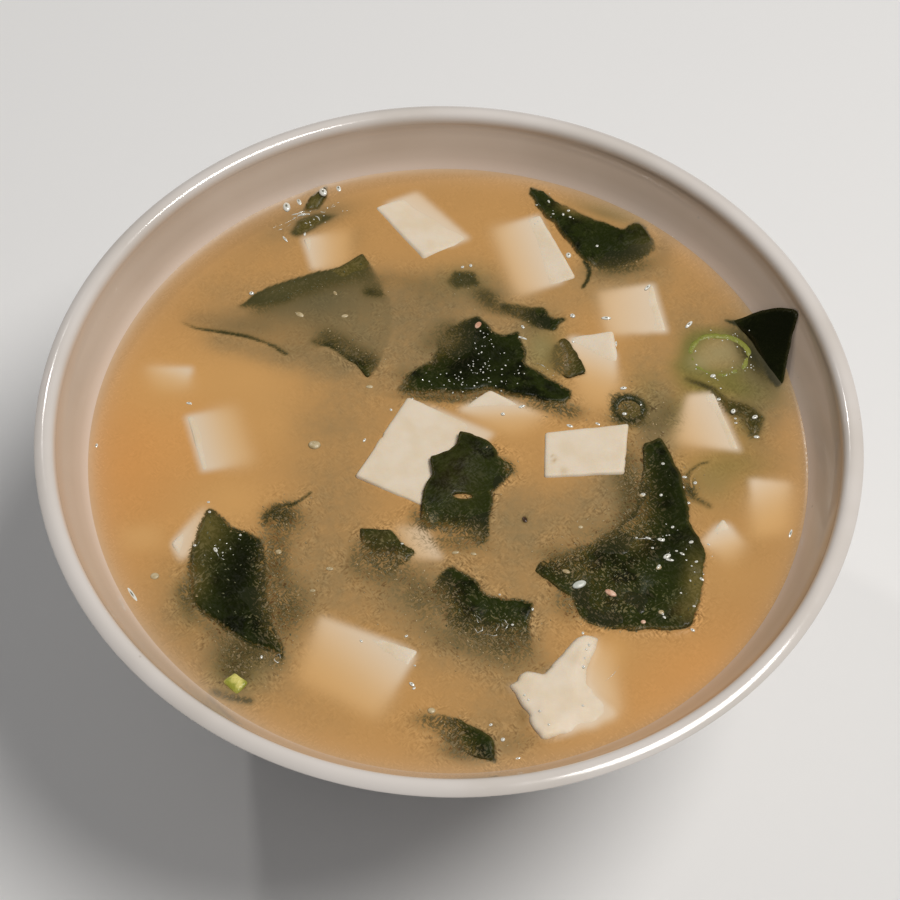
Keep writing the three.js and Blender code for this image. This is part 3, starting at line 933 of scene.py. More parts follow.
@dataclass
class Bowl:
    """The round bowl on its foot ring, turned from one profile."""

    rim_radius: float = 60.0
    height: float = 60.0
    lip_drop: float = 0.6
    inside_top: Place = (57.0, 58.0)
    floor: float = 9.0
    foot_radius: float = 26.0
    foot_width: float = 3.0
    foot_height: float = 6.0
    foot_recess: float = 4.5
    shore_height: float = 52.3
    around: int = 288
    steps: int = 44
    finish: Glaze = field(default_factory=Glaze)

    @staticmethod
    def curve(points: Sequence[Place], steps: int) -> Array:
        """Walk along a cubic curve.

        Args:
            points: Its four control points, of radius and height.
            steps: How many steps it has.

        Returns:
            The points along it.
        """
        p = np.array(points, dtype=float)
        t = np.linspace(0, 1, steps + 1)[:, None]
        return (1 - t) ** 3 * p[0] + 3 * (1 - t) ** 2 * t * p[1] + 3 * (1 - t) * t * t * p[2] + t**3 * p[3]

    def inside_wall(self) -> Array:
        """The inside, from the middle of the floor up to the lip."""
        return self.curve([(0, self.floor), (40, self.floor), (43, 37.6), self.inside_top], self.steps)

    def outside_wall(self) -> Array:
        """The outside, from the foot up to the lip."""
        top = (self.rim_radius, self.height - self.lip_drop)
        return self.curve([(self.foot_radius, self.foot_height), (42, 8), (50, 40), top], self.steps)

    def inside_radius(self, height: float) -> float:
        """The radius of the inside at a height above the table."""
        wall = self.inside_wall()
        return float(np.interp(height, wall[:, 1], wall[:, 0]))

    def profile(self) -> Array:
        """The whole section, from the axis underneath round to the axis inside.

        Returns:
            Its points, of radius and height.
        """
        middle = (self.inside_top[0] + self.rim_radius) / 2
        reach = (self.rim_radius - self.inside_top[0]) / 2
        angles = np.linspace(0, math.pi, 18)[1:-1]
        base = np.interp(angles, [0, math.pi], [self.height - self.lip_drop, self.inside_top[1]])
        lip = np.c_[middle + reach * np.cos(angles), base + (self.height - base) * np.sin(angles)]
        foot_in = self.foot_radius - self.foot_width
        foot = [
            (0, self.foot_recess), (foot_in - 2.0, self.foot_recess), (foot_in - 0.8, self.foot_recess - 0.5),
            (foot_in - 0.2, 1.0), (foot_in + 0.1, 0.3), (foot_in + 0.5, 0.0), (self.foot_radius - 0.7, 0.0),
            (self.foot_radius - 0.25, 0.2), (self.foot_radius, 0.7),
            (self.foot_radius, self.foot_height - 1.0), (self.foot_radius + 0.5, self.foot_height - 0.1),
        ]
        return np.vstack([foot, self.outside_wall()[1:], lip, self.inside_wall()[::-1]])

    def build(self) -> Piece:
        """Turn the profile, glaze it and let it stand for the frame's bowl.

        Returns:
            The bowl.
        """
        profile = self.profile()
        body = profile[1:-1]
        turns = np.linspace(0, 2 * math.pi, self.around, endpoint=False)
        rings = np.stack([np.outer(body[:, 0], np.cos(turns)), np.outer(body[:, 0], np.sin(turns)),
                          np.repeat(body[:, 1:2], self.around, axis=1)], axis=-1)
        points = np.vstack([rings.reshape(-1, 3), [(0, 0, profile[0, 1])], [(0, 0, profile[-1, 1])]])
        count, last = self.around, len(body) - 1
        faces: Faces = []
        for ring in range(last):
            for i in range(count):
                j = (i + 1) % count
                a, b = ring * count, (ring + 1) * count
                faces.append((a + i, a + j, b + j, b + i))
        under, over = len(body) * count, len(body) * count + 1
        for i in range(count):
            j = (i + 1) % count
            faces.append((under, j, i))
            faces.append((last * count + i, last * count + j, over))
        bowl = make_object("bowl_glazed", points, faces)
        lip_start = len(body) - self.steps
        order = np.arange(len(body))
        within = smoothstep(lip_start - 5, lip_start + 1, order.astype(float))
        height = body[:, 1]
        # A painted highlight band on the inside wall, just above the broth.
        highlight_band = within * smoothstep(self.shore_height + 2.2, self.shore_height, height)
        bare = ((height < 0.25) & (body[:, 0] < self.foot_radius)).astype(float)
        for name, values, over_end in (("within", within, 1), ("shore", highlight_band, 0), ("bare", bare, 0)):
            put_attribute(bowl, name, np.concatenate([np.repeat(values, self.around), (0, over_end)]))
        return dress(bowl, self.finish.material(), "bowl")


# ------------------------------------------------------------------ what floats


@dataclass(frozen=True)
class Block:
    """A block of tofu by its four corners. It leans by so much for each millimetre of depth."""

    name: str
    corners: tuple[Corner, ...]
    depth: float = 9.0
    lean: Place = (0.0, 0.0)
    dents: tuple[tuple[float, float, float], ...] = ()
    stains: tuple[Blot, ...] = ()
    knife: tuple[float, float, float] | None = None
    bulge: float = 0.0

    def outline(self) -> Array:
        """The corners seen from above."""
        return np.array(self.corners)[:, :2]

    def top(self, x: Array, y: Array) -> Array:
        """The height of the top face."""
        return plane(self.corners, x, y)


@dataclass(frozen=True)
class Leaf:
    """A torn leaf of wakame by its corners, with what sets it apart from the others."""

    name: str
    corners: tuple[Corner, ...]
    sag: float = 0.0
    wave: float = 0.16
    tear: float = 0.2
    pale_edge: float = 0.3
    shown: float = 1.0
    soft: float = 0.0
    flat: bool = False
    over: tuple[str, ...] = ()
    veils: tuple[Blot, ...] = ()
    strokes: tuple[Blot | Stroke, ...] = ()
    fades: tuple[Blot, ...] = ()
    murks: tuple[Blot, ...] = ()
    films: tuple[Blot, ...] = ()
    olive: tuple[Blot, ...] = ()
    # Darker patches: the deeper tone of most leaves, and painted shade on the upright leaf.
    dark: tuple[Blot | Stroke, ...] = ()
    holes: tuple[tuple[float, float, float, float], ...] = ()

    def outline(self) -> Array:
        """The corners seen from above."""
        return np.array(self.corners)[:, :2]

    def hole_outlines(self) -> list[Array]:
        """The outlines of the holes."""
        turn = np.linspace(0, 2 * math.pi, 16, endpoint=False)
        return [np.c_[x + a * np.cos(turn), y + b * np.sin(turn)] for x, y, a, b in self.holes]

    def seen(self, x: Array, y: Array, from_edge: Array) -> Array:
        """How clearly the leaf shows through the broth at each place within it.

        Args:
            x: The places, across.
            y: The places, away.
            from_edge: How far each place is from the leaf's edge.

        Returns:
            From 0, hidden, to 1, clear.
        """
        clear = self.shown * (1 - gathered(self.veils, x, y))
        if self.soft:
            clear = clear * smoothstep(-0.3 * self.soft, self.soft, from_edge)
        clear = 1 - (1 - clear) * (1 - gathered(self.strokes, x, y))
        return clear * (1 - gathered(self.fades, x, y))


@dataclass(frozen=True)
class Ring:
    """A slice of scallion by its centre, outer half sizes, wall, height, tilt in degrees and colours."""

    name: str
    centre: Corner
    outer: Place
    wall: float
    height: float
    tilt: Place
    outside: Colour
    within: Colour
    shown: float


TOFU = (
    Block(
        "tofu_far_left", ((-11.8, 45.4, 0.4), (-4, 35.1, 0.6), (3.6, 39.2, -0.05), (-4.8, 48.8, -0.25)),
        lean=(0.2, -0.8),
    ),
    Block(
        "tofu_far_right", ((7, 41.3, -0.75), (10.6, 27.5, -0.6), (20.4, 31.5, 0.4), (14.9, 44.3, 0.35)),
        lean=(-0.2, -0.6),
    ),
    Block(
        "tofu_under_strip", ((-21.4, 32.6, 0), (-15.6, 32.8, -1.1), (-15.4, 41, -1.1), (-23.2, 39, 0.15)),
        depth=8, lean=(0.2, -0.4),
    ),
    Block(
        "tofu_right_of_far", ((24.4, 20.4, -0.5), (34, 21, 0.12), (32.4, 30.6, 0.08), (23.4, 28.8, -0.55)),
        depth=8,
    ),
    Block(
        "tofu_right_middle", ((19.9, 6.6, -2), (25.8, 7, -0.8), (25.6, 21, 0.5), (18.4, 19.9, 0.4)),
        bulge=0.7,
    ),
    Block(
        "tofu_corner", ((1.2, 6.2, 0.15), (9.5, 1.9, -1.6), (14.7, 5.2, -0.25), (6.2, 9.8, 0.4)), depth=7,
    ),
    Block(
        "tofu_middle", ((-14, -6, 0.5), (-4, -11, 0.5), (6.8, 2, -0.3), (-6.3, 8.6, 0.5)), depth=11,
        dents=((-10.6, 1.4, 0.8), (-3.2, 7.6, 0.5)),
    ),
    Block(
        "tofu_right", ((13.8, -6, 0.5), (25.9, -5.2, 0.5), (27.1, 4, 0.4), (14.2, 2.2, 0.4)),
        dents=((26.7, -2.4, 0.7), (26.2, -4.2, 0.4), (27.1, 0.2, 0.3)),
        stains=blots(
            (15.5, -3, 0.45, 0.3, 0.8, 60), (16.9, -4.9, 0.6, 0.7, 0.45), (15.3, -2.2, 0.25, 0.25, 0.6),
        ),
    ),
    Block(
        "tofu_near_curl", ((33, 0.5, -0.8), (43.5, -0.9, 0.1), (40.2, 9.9, 0.2), (36.2, 9.3, -0.25)),
        lean=(-0.3, 0),
    ),
    Block(
        "tofu_right_edge",
        ((43.8, -16, -1.1), (49.2, -14.8, -1.4), (50.4, -6.3, -0.35), (44.4, -5.6, -0.05)), depth=4.5,
        lean=(-1.6, 0.2),
    ),
    Block(
        "tofu_right_corner",
        ((36.4, -16.6, -0.05), (40, -20.4, -1.2), (42.9, -17, -0.45), (39.9, -12.4, 0.3)), depth=7,
        lean=(-0.3, 0),
    ),
    Block(
        "tofu_near_left", ((-18.3, -29, 0.05), (-21.5, -39, -1.6), (-10, -45, -0.6), (-4.4, -34.6, 0.05)),
        depth=8, lean=(0.1, 0.4), knife=(55, 1.1, 0.09),
    ),
    Block("tofu_left", ((-39.5, 4.7, 0.1), (-36.4, -5.2, 0.2), (-28.6, -3.6, -0.9), (-32, 6.8, -0.8))),
    Block(
        "tofu_left_sliver",
        ((-40.2, -17.4, 0.15), (-38.6, -20.3, 0.05), (-33.6, -17, -0.9), (-35.6, -10.9, -0.3)), depth=7,
    ),
)

SUNK_TOFU = (
    Block("sunk_left", ((-46, 13.6, -0.5), (-44.2, 9.6, -1.2), (-39.2, 9.6, -0.7), (-38.9, 13.7, 0.1))),
    Block(
        "sunk_middle", ((-8, -14.2, -0.4), (-5.4, -19.6, -0.6), (-0.8, -19.8, -0.05), (-3.8, -14.2, -0.25)),
    ),
    Block("sunk_near", ((19.8, -32.8, -0.3), (18.8, -39.6, -0.3), (23.6, -44, -0.4), (22.6, -34, -1.1))),
    Block(
        "sunk_low_left",
        ((-47.5, -14.8, -1.6), (-46.4, -18.6, -1.6), (-41, -18.2, -1.6), (-42, -14.2, -1.5)),
    ),
)

# Round, deep lumps of tofu that only tint the broth.
SUNK_GLOW = blots(
    (-30, 11.5, 9, 6.6, 0.75), (-31.5, -10.2, 5.4, 4.2, 0.95), (-27, 3, 5, 5, 0.5), (-42, 10, 8, 6, 0.5),
    (22.5, -34.5, 2.4, 3.2, 0.8, -25), (40, -22, 6, 4, 0.3), (22, 8.5, 4, 2.5, 0.6),
    (8, 4.2, 6, 2.2, 0.7, -10), (34.5, 2, 3, 4, 0.3),
)

BROKEN = Leaf(
    "tofu_broken",
    (
        (8, -39.9, 0.5), (9.2, -39.2, 0.7), (9.5, -38.3, 0.75), (10.4, -37.7, 0.8), (11.6, -37.8, 0.7),
        (12.8, -38.2, 0.55), (13.9, -37.2, 0.55), (14.6, -36, 0.65), (16, -34.3, 0.75), (17.7, -32.6, 0.8),
        (18.9, -32.1, 0.75), (20.7, -32.4, 0.5), (20.3, -34, 0.4), (19.6, -35.6, 0.35), (19, -37.8, 0.3),
        (19, -39.4, 0.2), (20.2, -41.2, 0.05), (22, -42.8, -0.1), (23.4, -44.3, -0.35), (21.3, -45.9, -0.4),
        (18, -46.8, -0.15), (15, -47.5, 0.2), (13, -48.1, 0.5), (12.2, -47.9, 0.6), (11.2, -46.4, 0.7),
        (10.7, -45.2, 0.6), (10.9, -44.3, 0.5), (10.1, -43.5, 0.65), (9.4, -42.6, 0.7), (8.9, -41.2, 0.6),
        (11.2, -40.2, 0.75), (12.4, -43.6, 0.75), (12.9, -46, 0.65), (15, -43.4, 0.45), (16.4, -40.4, 0.55),
        (17.7, -35.8, 0.8), (16.4, -37.8, 0.7), (17.5, -43.4, 0.35), (19.6, -43.6, 0.1),
    ),
)
BROKEN_LUMPS = 9
BROKEN_DEPTH = 3.2

WAKAME = (
    Leaf(
        "wakame_far_right",
        (
            (13.3, 50.1, 0.4), (15.5, 49.1, 0.5), (17.5, 46.9, 0.5), (20.2, 45.4, 0.5), (24, 43.3, 0.4),
            (27.8, 41.6, 0.4), (28.8, 42.2, 0.5), (30.2, 42.9, 0.5), (31.6, 42, 0.4), (33.2, 39, 0.2),
            (33.5, 37.2, -0.1), (31, 35.4, -0.3), (28, 34.2, -0.4), (24, 32.8, -0.2), (22.3, 33.8, 0.3),
            (21.2, 35, 0.5), (19.2, 38.2, 0.7), (16.9, 42, 0.7), (15.5, 43.4, 0.7), (14.1, 46.6, 0.5),
            (12.9, 48.3, 0.4),
        ),
        over=("tofu_far_right",), pale_edge=0.75,
        veils=blots(
            (29, 33.2, 8, 2.2, 0.85, 12), (34, 36.8, 2.2, 2.8, 0.7), (23, 32.6, 2.8, 1.6, 0.5),
            (31.5, 42.8, 2.6, 1, 0.5), (25, 43.4, 4.5, 0.9, 0.45, -24),
        ),
        olive=blots(
            (20.4, 44.8, 2.4, 1.2, 0.75, -15), (31.5, 38, 2.5, 2, 0.3), (15.4, 43.2, 0.8, 0.8, 0.9),
        ),
        soft=0.5, dark=blots((26, 38.6, 5.5, 3.4, 0.35)), films=blots((19.8, 45.4, 1.6, 0.8, 0.35, -20)),
    ),
    Leaf(
        "wakame_blade",
        (
            (-19.3, 49.6, 1.1), (-19.2, 47.3, 0.8), (-20.6, 44.8, 0.2), (-23.7, 43.8, 0.1),
            (-22.2, 47.2, 0.7),
        ),
        tear=0.06, soft=0.3, shown=0.95, veils=blots((-23, 44.4, 1, 0.9, 0.5)),
        olive=blots((-21.4, 46, 1.6, 2.4, 0.85)),
    ),
    Leaf(
        "wakame_strip",
        (
            (-16.6, 44.2, 0), (-19, 44, 0.2), (-21.4, 44, 0.25), (-24, 42.6, 0.2), (-25.4, 40, 0.1),
            (-24.2, 38.9, 0.1), (-22.4, 39.6, 0.2), (-20.5, 41.2, 0.2), (-18.4, 42.8, 0.1),
        ),
        over=("tofu_under_strip",), tear=0.14, soft=1, shown=0.8, veils=blots((-17, 44, 2.2, 1, 0.4)),
        films=blots((-19, 43.6, 2, 0.8, 0.3, 10)), olive=blots((-22, 41.6, 4, 2.2, 0.85, 35)),
        murks=blots((-21, 42, 5, 2, 0.6, 30)),
    ),
    Leaf(
        "wakame_far_left",
        (
            (-42, 22.4, -0.35), (-39, 20.7, -0.05), (-35, 20.1, 0.08), (-31, 19.3, 0.1), (-28.3, 18.2, 0.1),
            (-26.8, 17.4, 0.05), (-25, 15.9, -0.1), (-22, 16.4, -0.5), (-19, 17.9, 0.15), (-17, 16.7, 0.2),
            (-15.5, 15.2, 0.25), (-14, 14.2, 0.2), (-12.3, 11.9, 0.2), (-11, 13.4, 0.1), (-10, 16, -0.4),
            (-8.5, 21, -0.7), (-8.8, 27, -0.6), (-10, 28.2, -0.2), (-11.3, 32, 0.05), (-12.5, 34.2, 0.25),
            (-13.5, 35.8, 0.3), (-15, 34.5, 0.3), (-17, 33, 0.25), (-20, 32.3, 0.25), (-25, 30.4, 0.2),
            (-27.5, 29.3, 0.2), (-30, 27.8, 0.2), (-32, 25.8, 0.2), (-37, 24.2, -0.7),
        ),
        sag=0.55, wave=0.1, tear=0.1, shown=0.17, veils=blots((-38, 23.6, 5, 2.6, 1, 20)),
        fades=blots(
            (-35.8, 25.6, 3.6, 2.6, 1, 30), (-33.5, 23.6, 3, 1.2, 0.7, 20), (-9.8, 31, 1.8, 5, 0.85, 18),
        ),
        strokes=(
            Stroke(
                ((-29.4, 26.9), (-27.2, 28), (-25, 29.2), (-20, 31.2), (-17, 32), (-13.9, 34.6)), 2.7, 0.72,
            ),
            Stroke(
                (
                    (-32, 25.8), (-30, 27.8), (-27.5, 29.3), (-25, 30.4), (-20, 32.3), (-17, 33),
                    (-13.6, 35.6),
                ),
                0.6, 0.9,
            ),
            Stroke(((-18.4, 17.6), (-17.3, 16.6), (-16, 15.5), (-13.7, 14.3), (-12.6, 12.3)), 0.9, 0.95),
            Stroke(((-20.6, 18.8), (-18.4, 17.6)), 0.6, 0.4),
            Stroke(((-18.6, 19.4), (-16.4, 18.2), (-14.4, 16.6), (-12.2, 15)), 1.7, 0.42),
            Stroke(
                (
                    (-41, 21.6), (-39, 20.7), (-35, 20.1), (-31, 19.3), (-28.3, 18.1), (-26.8, 17.4),
                    (-25, 16),
                ),
                0.5, 1,
            ),
            Stroke(((-31.6, 25.8), (-30, 26.5), (-27.6, 27), (-25.4, 27.4)), 0.9, 0.8),
            Blot(-13.8, 33.2, 2.6, 2.6, 0.5), Blot(-22, 29.6, 6, 1.8, 0.3, 20),
            Blot(-12, 14.8, 1.6, 2.2, 0.4, 30), Blot(-17.5, 19.6, 4.4, 1.8, 0.15, -35),
            Stroke(((-12.5, 28.3), (-10.2, 28)), 0.8, 0.7),
        ),
        olive=blots((-26, 28.6, 8, 3.6, 0.85, 24), (-16, 32.6, 6, 4, 0.85, 20)),
        dark=(
            Stroke(
                ((-32, 25.5), (-30, 27.5), (-27.5, 29), (-25, 30.1), (-20, 32), (-17, 32.7), (-14, 35.4)),
                0.4, 0.8,
            ),
        ),
        murks=blots(
            (-20, 27, 9.5, 6.5, 0.95), (-26, 24.5, 5, 3.4, 0.5, 15), (-14, 18.5, 5, 5, 0.4, 20),
            (-13.5, 31, 4, 4, 0.6), (-32, 21.2, 7, 1.8, 0.4, -8),
        ),
    ),
    Leaf(
        "wakame_scrap",
        ((-0.6, 30.4, -0.25), (1.2, 28.7, -0.3), (5.1, 29.8, -0.2), (4.6, 32.6, 0.05), (1, 33, 0.05)),
        shown=0.82, soft=1.1, veils=blots((-0.5, 30.5, 2, 2, 0.4), (3, 28.6, 2.5, 1, 0.5)),
        olive=blots((2.2, 30.8, 3.4, 2.4, 0.5)),
    ),
    Leaf(
        "wakame_ribbon",
        (
            (8.2, 26, -0.5), (10.4, 26.5, -0.2), (12.5, 26.2, 0), (15, 25.4, 0.05), (15.9, 23.8, 0.1),
            (18.6, 23.5, 0.25), (17.4, 22, 0.25), (16.4, 20.8, 0.15), (15, 21.2, 0.05), (12.6, 22.2, -0.1),
            (9.4, 23.6, -0.5),
        ),
        tear=0.3, shown=1, soft=0.3,
        veils=blots((9.4, 24.6, 3.2, 2.6, 0.68), (11.6, 22.4, 2.4, 1.2, 0.6, -20), (13, 26, 2.2, 0.8, 0.4)),
    ),
    Leaf(
        "wakame_middle",
        (
            (-8, 9.8, 0.2), (-5.5, 9.1, 0.3), (-3, 8.9, 0.4), (2, 9.1, 0.5), (6.2, 9.9, 0.55),
            (10, 8.8, 0.5), (14.5, 7.6, 0.4), (17.5, 7.3, 0.3), (18.6, 8.5, 0.3), (18.6, 9.9, 0.3),
            (16, 11.5, 0.4), (14, 12.9, 0.4), (11.7, 15, 0.35), (12.3, 17, 0.35), (11.4, 18.9, 0.4),
            (10.8, 21, 0.35), (8.8, 20.1, 0.4), (7.4, 20.4, 0.3), (6.2, 22.3, 0.25), (4.7, 24, 0.15),
            (2.6, 23.2, 0.1), (0.4, 21.7, 0), (-2.2, 19.4, 0), (-1.6, 17.2, 0), (-2.8, 15.2, 0.1),
            (-4.9, 13.6, 0.15), (-6.5, 12.2, 0.15),
        ),
        over=("tofu_corner",), wave=0.2, pale_edge=0.15,
        veils=blots(
            (-1.2, 20, 3.2, 3, 0.9, 40), (-7.6, 11.2, 1.6, 1.8, 0.6), (1.8, 23.2, 1.8, 1, 0.45, 30),
            (-3.2, 15.6, 1.4, 1.6, 0.35), (-4, 8.6, 5, 0.8, 0.6, -4),
        ),
        soft=0.2, dark=blots((4, 16, 6, 6, 0.7)),
    ),
    Leaf(
        "wakame_flake",
        (
            (15.6, 17.2, -0.1), (16.2, 13.6, 0), (18.2, 12.1, 0.3), (20.9, 13.1, 0.5), (20.2, 15, 0.5),
            (19.4, 16.8, 0.5), (18.6, 18.9, 0.4), (17.4, 19.8, 0.1),
        ),
        over=("tofu_right_middle",), shown=0.95, veils=blots((14.6, 16.4, 3.4, 6, 0.98, 14)),
        olive=blots((17, 16.4, 2.4, 4, 0.72, 15)),
    ),
    Leaf(
        "wakame_upright",
        (
            (42.8, 23.5, -0.5), (44.6, 22.4, -0.4), (46.9, 19.4, -0.5), (48.2, 15.5, -0.5),
            (48.8, 12.4, -0.5), (50, 10.6, -0.2), (51, 11.6, 0.5), (51.2, 12.9, 1.1), (51.6, 14.8, 2.4),
            (52.2, 17.2, 4.2), (53.1, 20, 6.6), (52.8, 20.6, 6.8), (50.6, 22.2, 5.1), (48, 23, 2.9),
            (46, 23.1, 1.4),
        ),
        # The dark patches on this upright leaf are painted shade.
        flat=True, tear=0.08, wave=0.1, pale_edge=0.1, dark=blots((51.5, 19, 5, 9), (49, 20, 4, 5, 0.9)),
    ),
    Leaf(
        "wakame_right",
        (
            (29, 0.3, 0.3), (30.6, 0.6, 0.4), (31.4, 1.1, 0.5), (32.3, -0.8, 0.5), (34, -5.3, 0.5),
            (34.9, -10, 0.5), (34.7, -13.5, 0.6), (36.2, -16.5, 0.7), (36.8, -19.2, 0.7),
            (36.1, -20.6, 0.6), (36.1, -23, 0.4), (34.8, -28, 0.3), (33.9, -30.3, 0.3), (31.8, -30.9, 0.3),
            (25, -31.1, 0.25), (22, -30.9, 0.2), (19.6, -30.2, 0.2), (18.2, -28.6, 0.2),
            (17.2, -25.6, 0.15), (13.5, -22.9, 0.2), (12, -21.7, 0.2), (12.8, -20.2, 0.15), (15, -19, 0.1),
            (20, -17, 0.1), (24, -14.4, 0.1), (26.8, -11.8, 0.1), (27.8, -8, 0.1), (28.7, -4, 0.15),
        ),
        wave=0.24, pale_edge=0.35,
        veils=blots(
            (25.4, -6, 3.1, 8.4, 0.97, 8), (21.6, -14.4, 3.6, 1.9, 0.9, 28),
            (15.5, -18.4, 4.6, 1.2, 0.85, 16), (17, -20.6, 4.5, 2.4, 0.3, -15), (27, -31.3, 6, 0.8, 0.45),
            (22, -26, 5, 4, 0.14),
        ),
        olive=blots((35, -24.4, 1.7, 5.2, 1, -6), (26.5, -17.2, 1.3, 0.9, 0.4), (33.4, -28, 2, 1.8, 0.6)),
        dark=blots((32, -8, 2.2, 8, 0.55, 6), (30, -18, 5, 2.4, 0.6)),
    ),
    Leaf(
        "wakame_on_tofu",
        (
            (1.5, 1.9, 0.9), (2.8, 1.5, 0.9), (4, 1, 0.8), (5.6, 0.4, 0.6), (6.9, -1.1, 0.3),
            (6.9, -2.2, 0.2), (9.7, -4, 0.1), (8, -6.2, 0.1), (6.6, -8, 0.1), (5.6, -8.2, 0.15),
            (6.3, -9, 0.1), (6.1, -10.2, 0.1), (5.6, -14, 0.1), (5.6, -16.4, 0.05), (4, -17.4, 0),
            (1, -15.8, 0.05), (-2, -14.9, 0.05), (-4.7, -14.6, 0.1), (-3.9, -11.4, 0.6), (-3.8, -8.7, 0.9),
            (-3, -6.3, 0.9), (-2.6, -5.8, 0.9), (-2.9, -3.4, 0.9), (-2.8, -2.6, 0.9), (0, -1.5, 0.9),
            (0.9, -0.5, 0.9),
        ),
        over=("tofu_middle",), pale_edge=0.3,
        veils=blots(
            (0.5, -16.4, 6, 2.4, 0.82, -8), (-4.8, -13.4, 1.5, 1.8, 0.5), (9.4, -4.2, 1.3, 1.4, 0.5),
        ),
        holes=((1.9, -9.2, 1.45, 0.5),), olive=blots((1, -6, 4.5, 6, 0.13)),
    ),
    Leaf(
        "wakame_chip",
        (
            (-13, -14.7, 0.2), (-12.9, -16.4, 0.2), (-12.6, -20, 0.05), (-9, -22.2, 0), (-5.6, -19.7, 0.2),
            (-5.1, -18.5, 0.25), (-7.2, -17.2, 0.3), (-8.6, -14.9, 0.3), (-11, -14.9, 0.25),
        ),
        veils=blots((-10.2, -21.6, 5.5, 2.9, 0.9), (-13.4, -18.6, 1.5, 3, 0.75)),
        olive=blots((-9.5, -16.4, 3, 1.8, 0.35)),
    ),
    Leaf(
        "wakame_near_middle",
        (
            (-3, -24.6, 0), (-1.5, -22, 0.1), (0.2, -20.7, 0.25), (2.3, -22.1, 0.25), (4.2, -23.6, 0.25),
            (4.6, -25, 0.25), (5.6, -25.7, 0.3), (9, -26.1, 0.35), (11.9, -26.7, 0.4), (11.4, -30, 0.25),
            (11.3, -31.5, 0.1), (11.8, -35, 0), (8, -35.4, 0), (4, -33.4, 0), (0, -31, 0), (-2.2, -27.4, 0),
        ),
        wave=0.2, soft=0.3,
        veils=blots(
            (-3, -26.4, 3, 4.8, 0.9, 25), (2.5, -33.5, 7.5, 3, 0.92, -12), (10, -35.4, 4.6, 3.6, 0.92),
        ),
    ),
    Leaf(
        "wakame_near_left",
        (
            (-35, -11.5, 0.4), (-36.4, -15, 0.45), (-37.3, -19, 0.4), (-37.5, -21, 0.35), (-37, -25.5, 0.3),
            (-35.3, -28.6, 0.3), (-33.4, -30, 0.3), (-31, -31.8, 0.3), (-27, -34.2, 0.3),
            (-24.2, -35.2, 0.3), (-23.3, -36.3, 0.25), (-23.1, -34.6, 0.2), (-24.6, -31, 0.1),
            (-25.8, -26, 0.1), (-26.2, -20, 0.1), (-27.3, -16.4, 0.1), (-29.4, -15.4, 0.1),
            (-31.5, -14.5, 0.2), (-34, -12, 0.35),
        ),
        over=("tofu_left_sliver",), wave=0.2, pale_edge=0.25, soft=0.12,
        veils=blots(
            (-24.9, -20.4, 1.9, 7, 0.9), (-24, -29, 1.8, 4, 0.7, 10), (-37.6, -24.6, 1.7, 4.2, 0.6, -10),
            (-33.6, -31.4, 4.4, 1, 0.6, -35),
        ),
        olive=blots((-35.2, -15.2, 2.8, 4.2, 0.85, -15), (-36, -23.5, 1.8, 3.4, 0.5)),
        dark=blots((-30, -22, 3, 8.5, 0.95, -12), (-26.5, -32, 2.2, 3.4, 0.5, 30)),
    ),
    Leaf(
        "wakame_near_edge",
        (
            (-4, -44.5, -0.2), (-1, -44.2, 0), (2, -45.7, 0.2), (5.3, -47.4, 0.25), (5.7, -49, 0.25),
            (6.3, -51.6, 0.2), (2, -50.2, 0.15), (-2.5, -47.1, -0.1),
        ),
        veils=blots((-2.6, -46, 3.6, 2.8, 0.93, -25), (0.5, -49.8, 3, 1.8, 0.6, -25)),
    ),
    Leaf(
        "scallion_curl",
        (
            (36.4, 11.6, 0), (38, 10.8, 0.15), (39.9, 10, 0.3), (41, 8, 0.3), (42.2, 5.8, 0.3),
            (44.3, 5, 0.3), (44.8, 3.2, 0.2), (44.7, 1.2, 0.1), (46.2, 1.4, 0.1), (46.9, 3.6, 0.2),
            (47.9, 5.2, 0.2), (46.4, 6.6, 0.3), (44.6, 7.9, 0.35), (42.4, 8.4, 0.35), (41.2, 9.8, 0.3),
            (40.6, 11, 0.25), (38.2, 12.2, 0.1),
        ),
        soft=1, shown=0.92, pale_edge=0.2,
        veils=blots((45.6, 1.6, 1.6, 1.4, 0.5), (37.4, 11.6, 2.2, 1.4, 0.55)),
        olive=blots((43, 6, 6, 6, 0.4)),
    ),
)

SCALLION = (
    Ring(
        "scallion_slice", (41.6, 16.8, 0.07), outer=(5.1, 4.3), wall=1.3, height=2.4, tilt=(1.1, -0.5),
        outside=(122, 130, 46), within=(162, 163, 84), shown=0.82,
    ),
    Ring(
        "scallion_small", (27.2, 6.7, 0.08), outer=(2.5, 2.4), wall=1, height=1.8, tilt=(8, 0),
        outside=(34, 42, 17), within=(50, 54, 26), shown=0.9,
    ),
    Ring(
        "scallion_sunk", (38.9, -6.8, -0.38), outer=(3.7, 3.7), wall=0.6, height=1.8, tilt=(3, 7),
        outside=(110, 102, 50), within=(146, 132, 72), shown=0.14,
    ),
)

# The small bright square of scallion leaf.
CHIP = Block(
    "scallion_chip", ((-31.5, -39.5, 0.35), (-29.4, -41.5, 0.25), (-27.9, -39.6, 0.35), (-29.9, -38, 0.45)),
    depth=1.2,
)
CHIP_FINISH = ScallionFinish(outside=(148, 151, 56), within=(218, 208, 120))

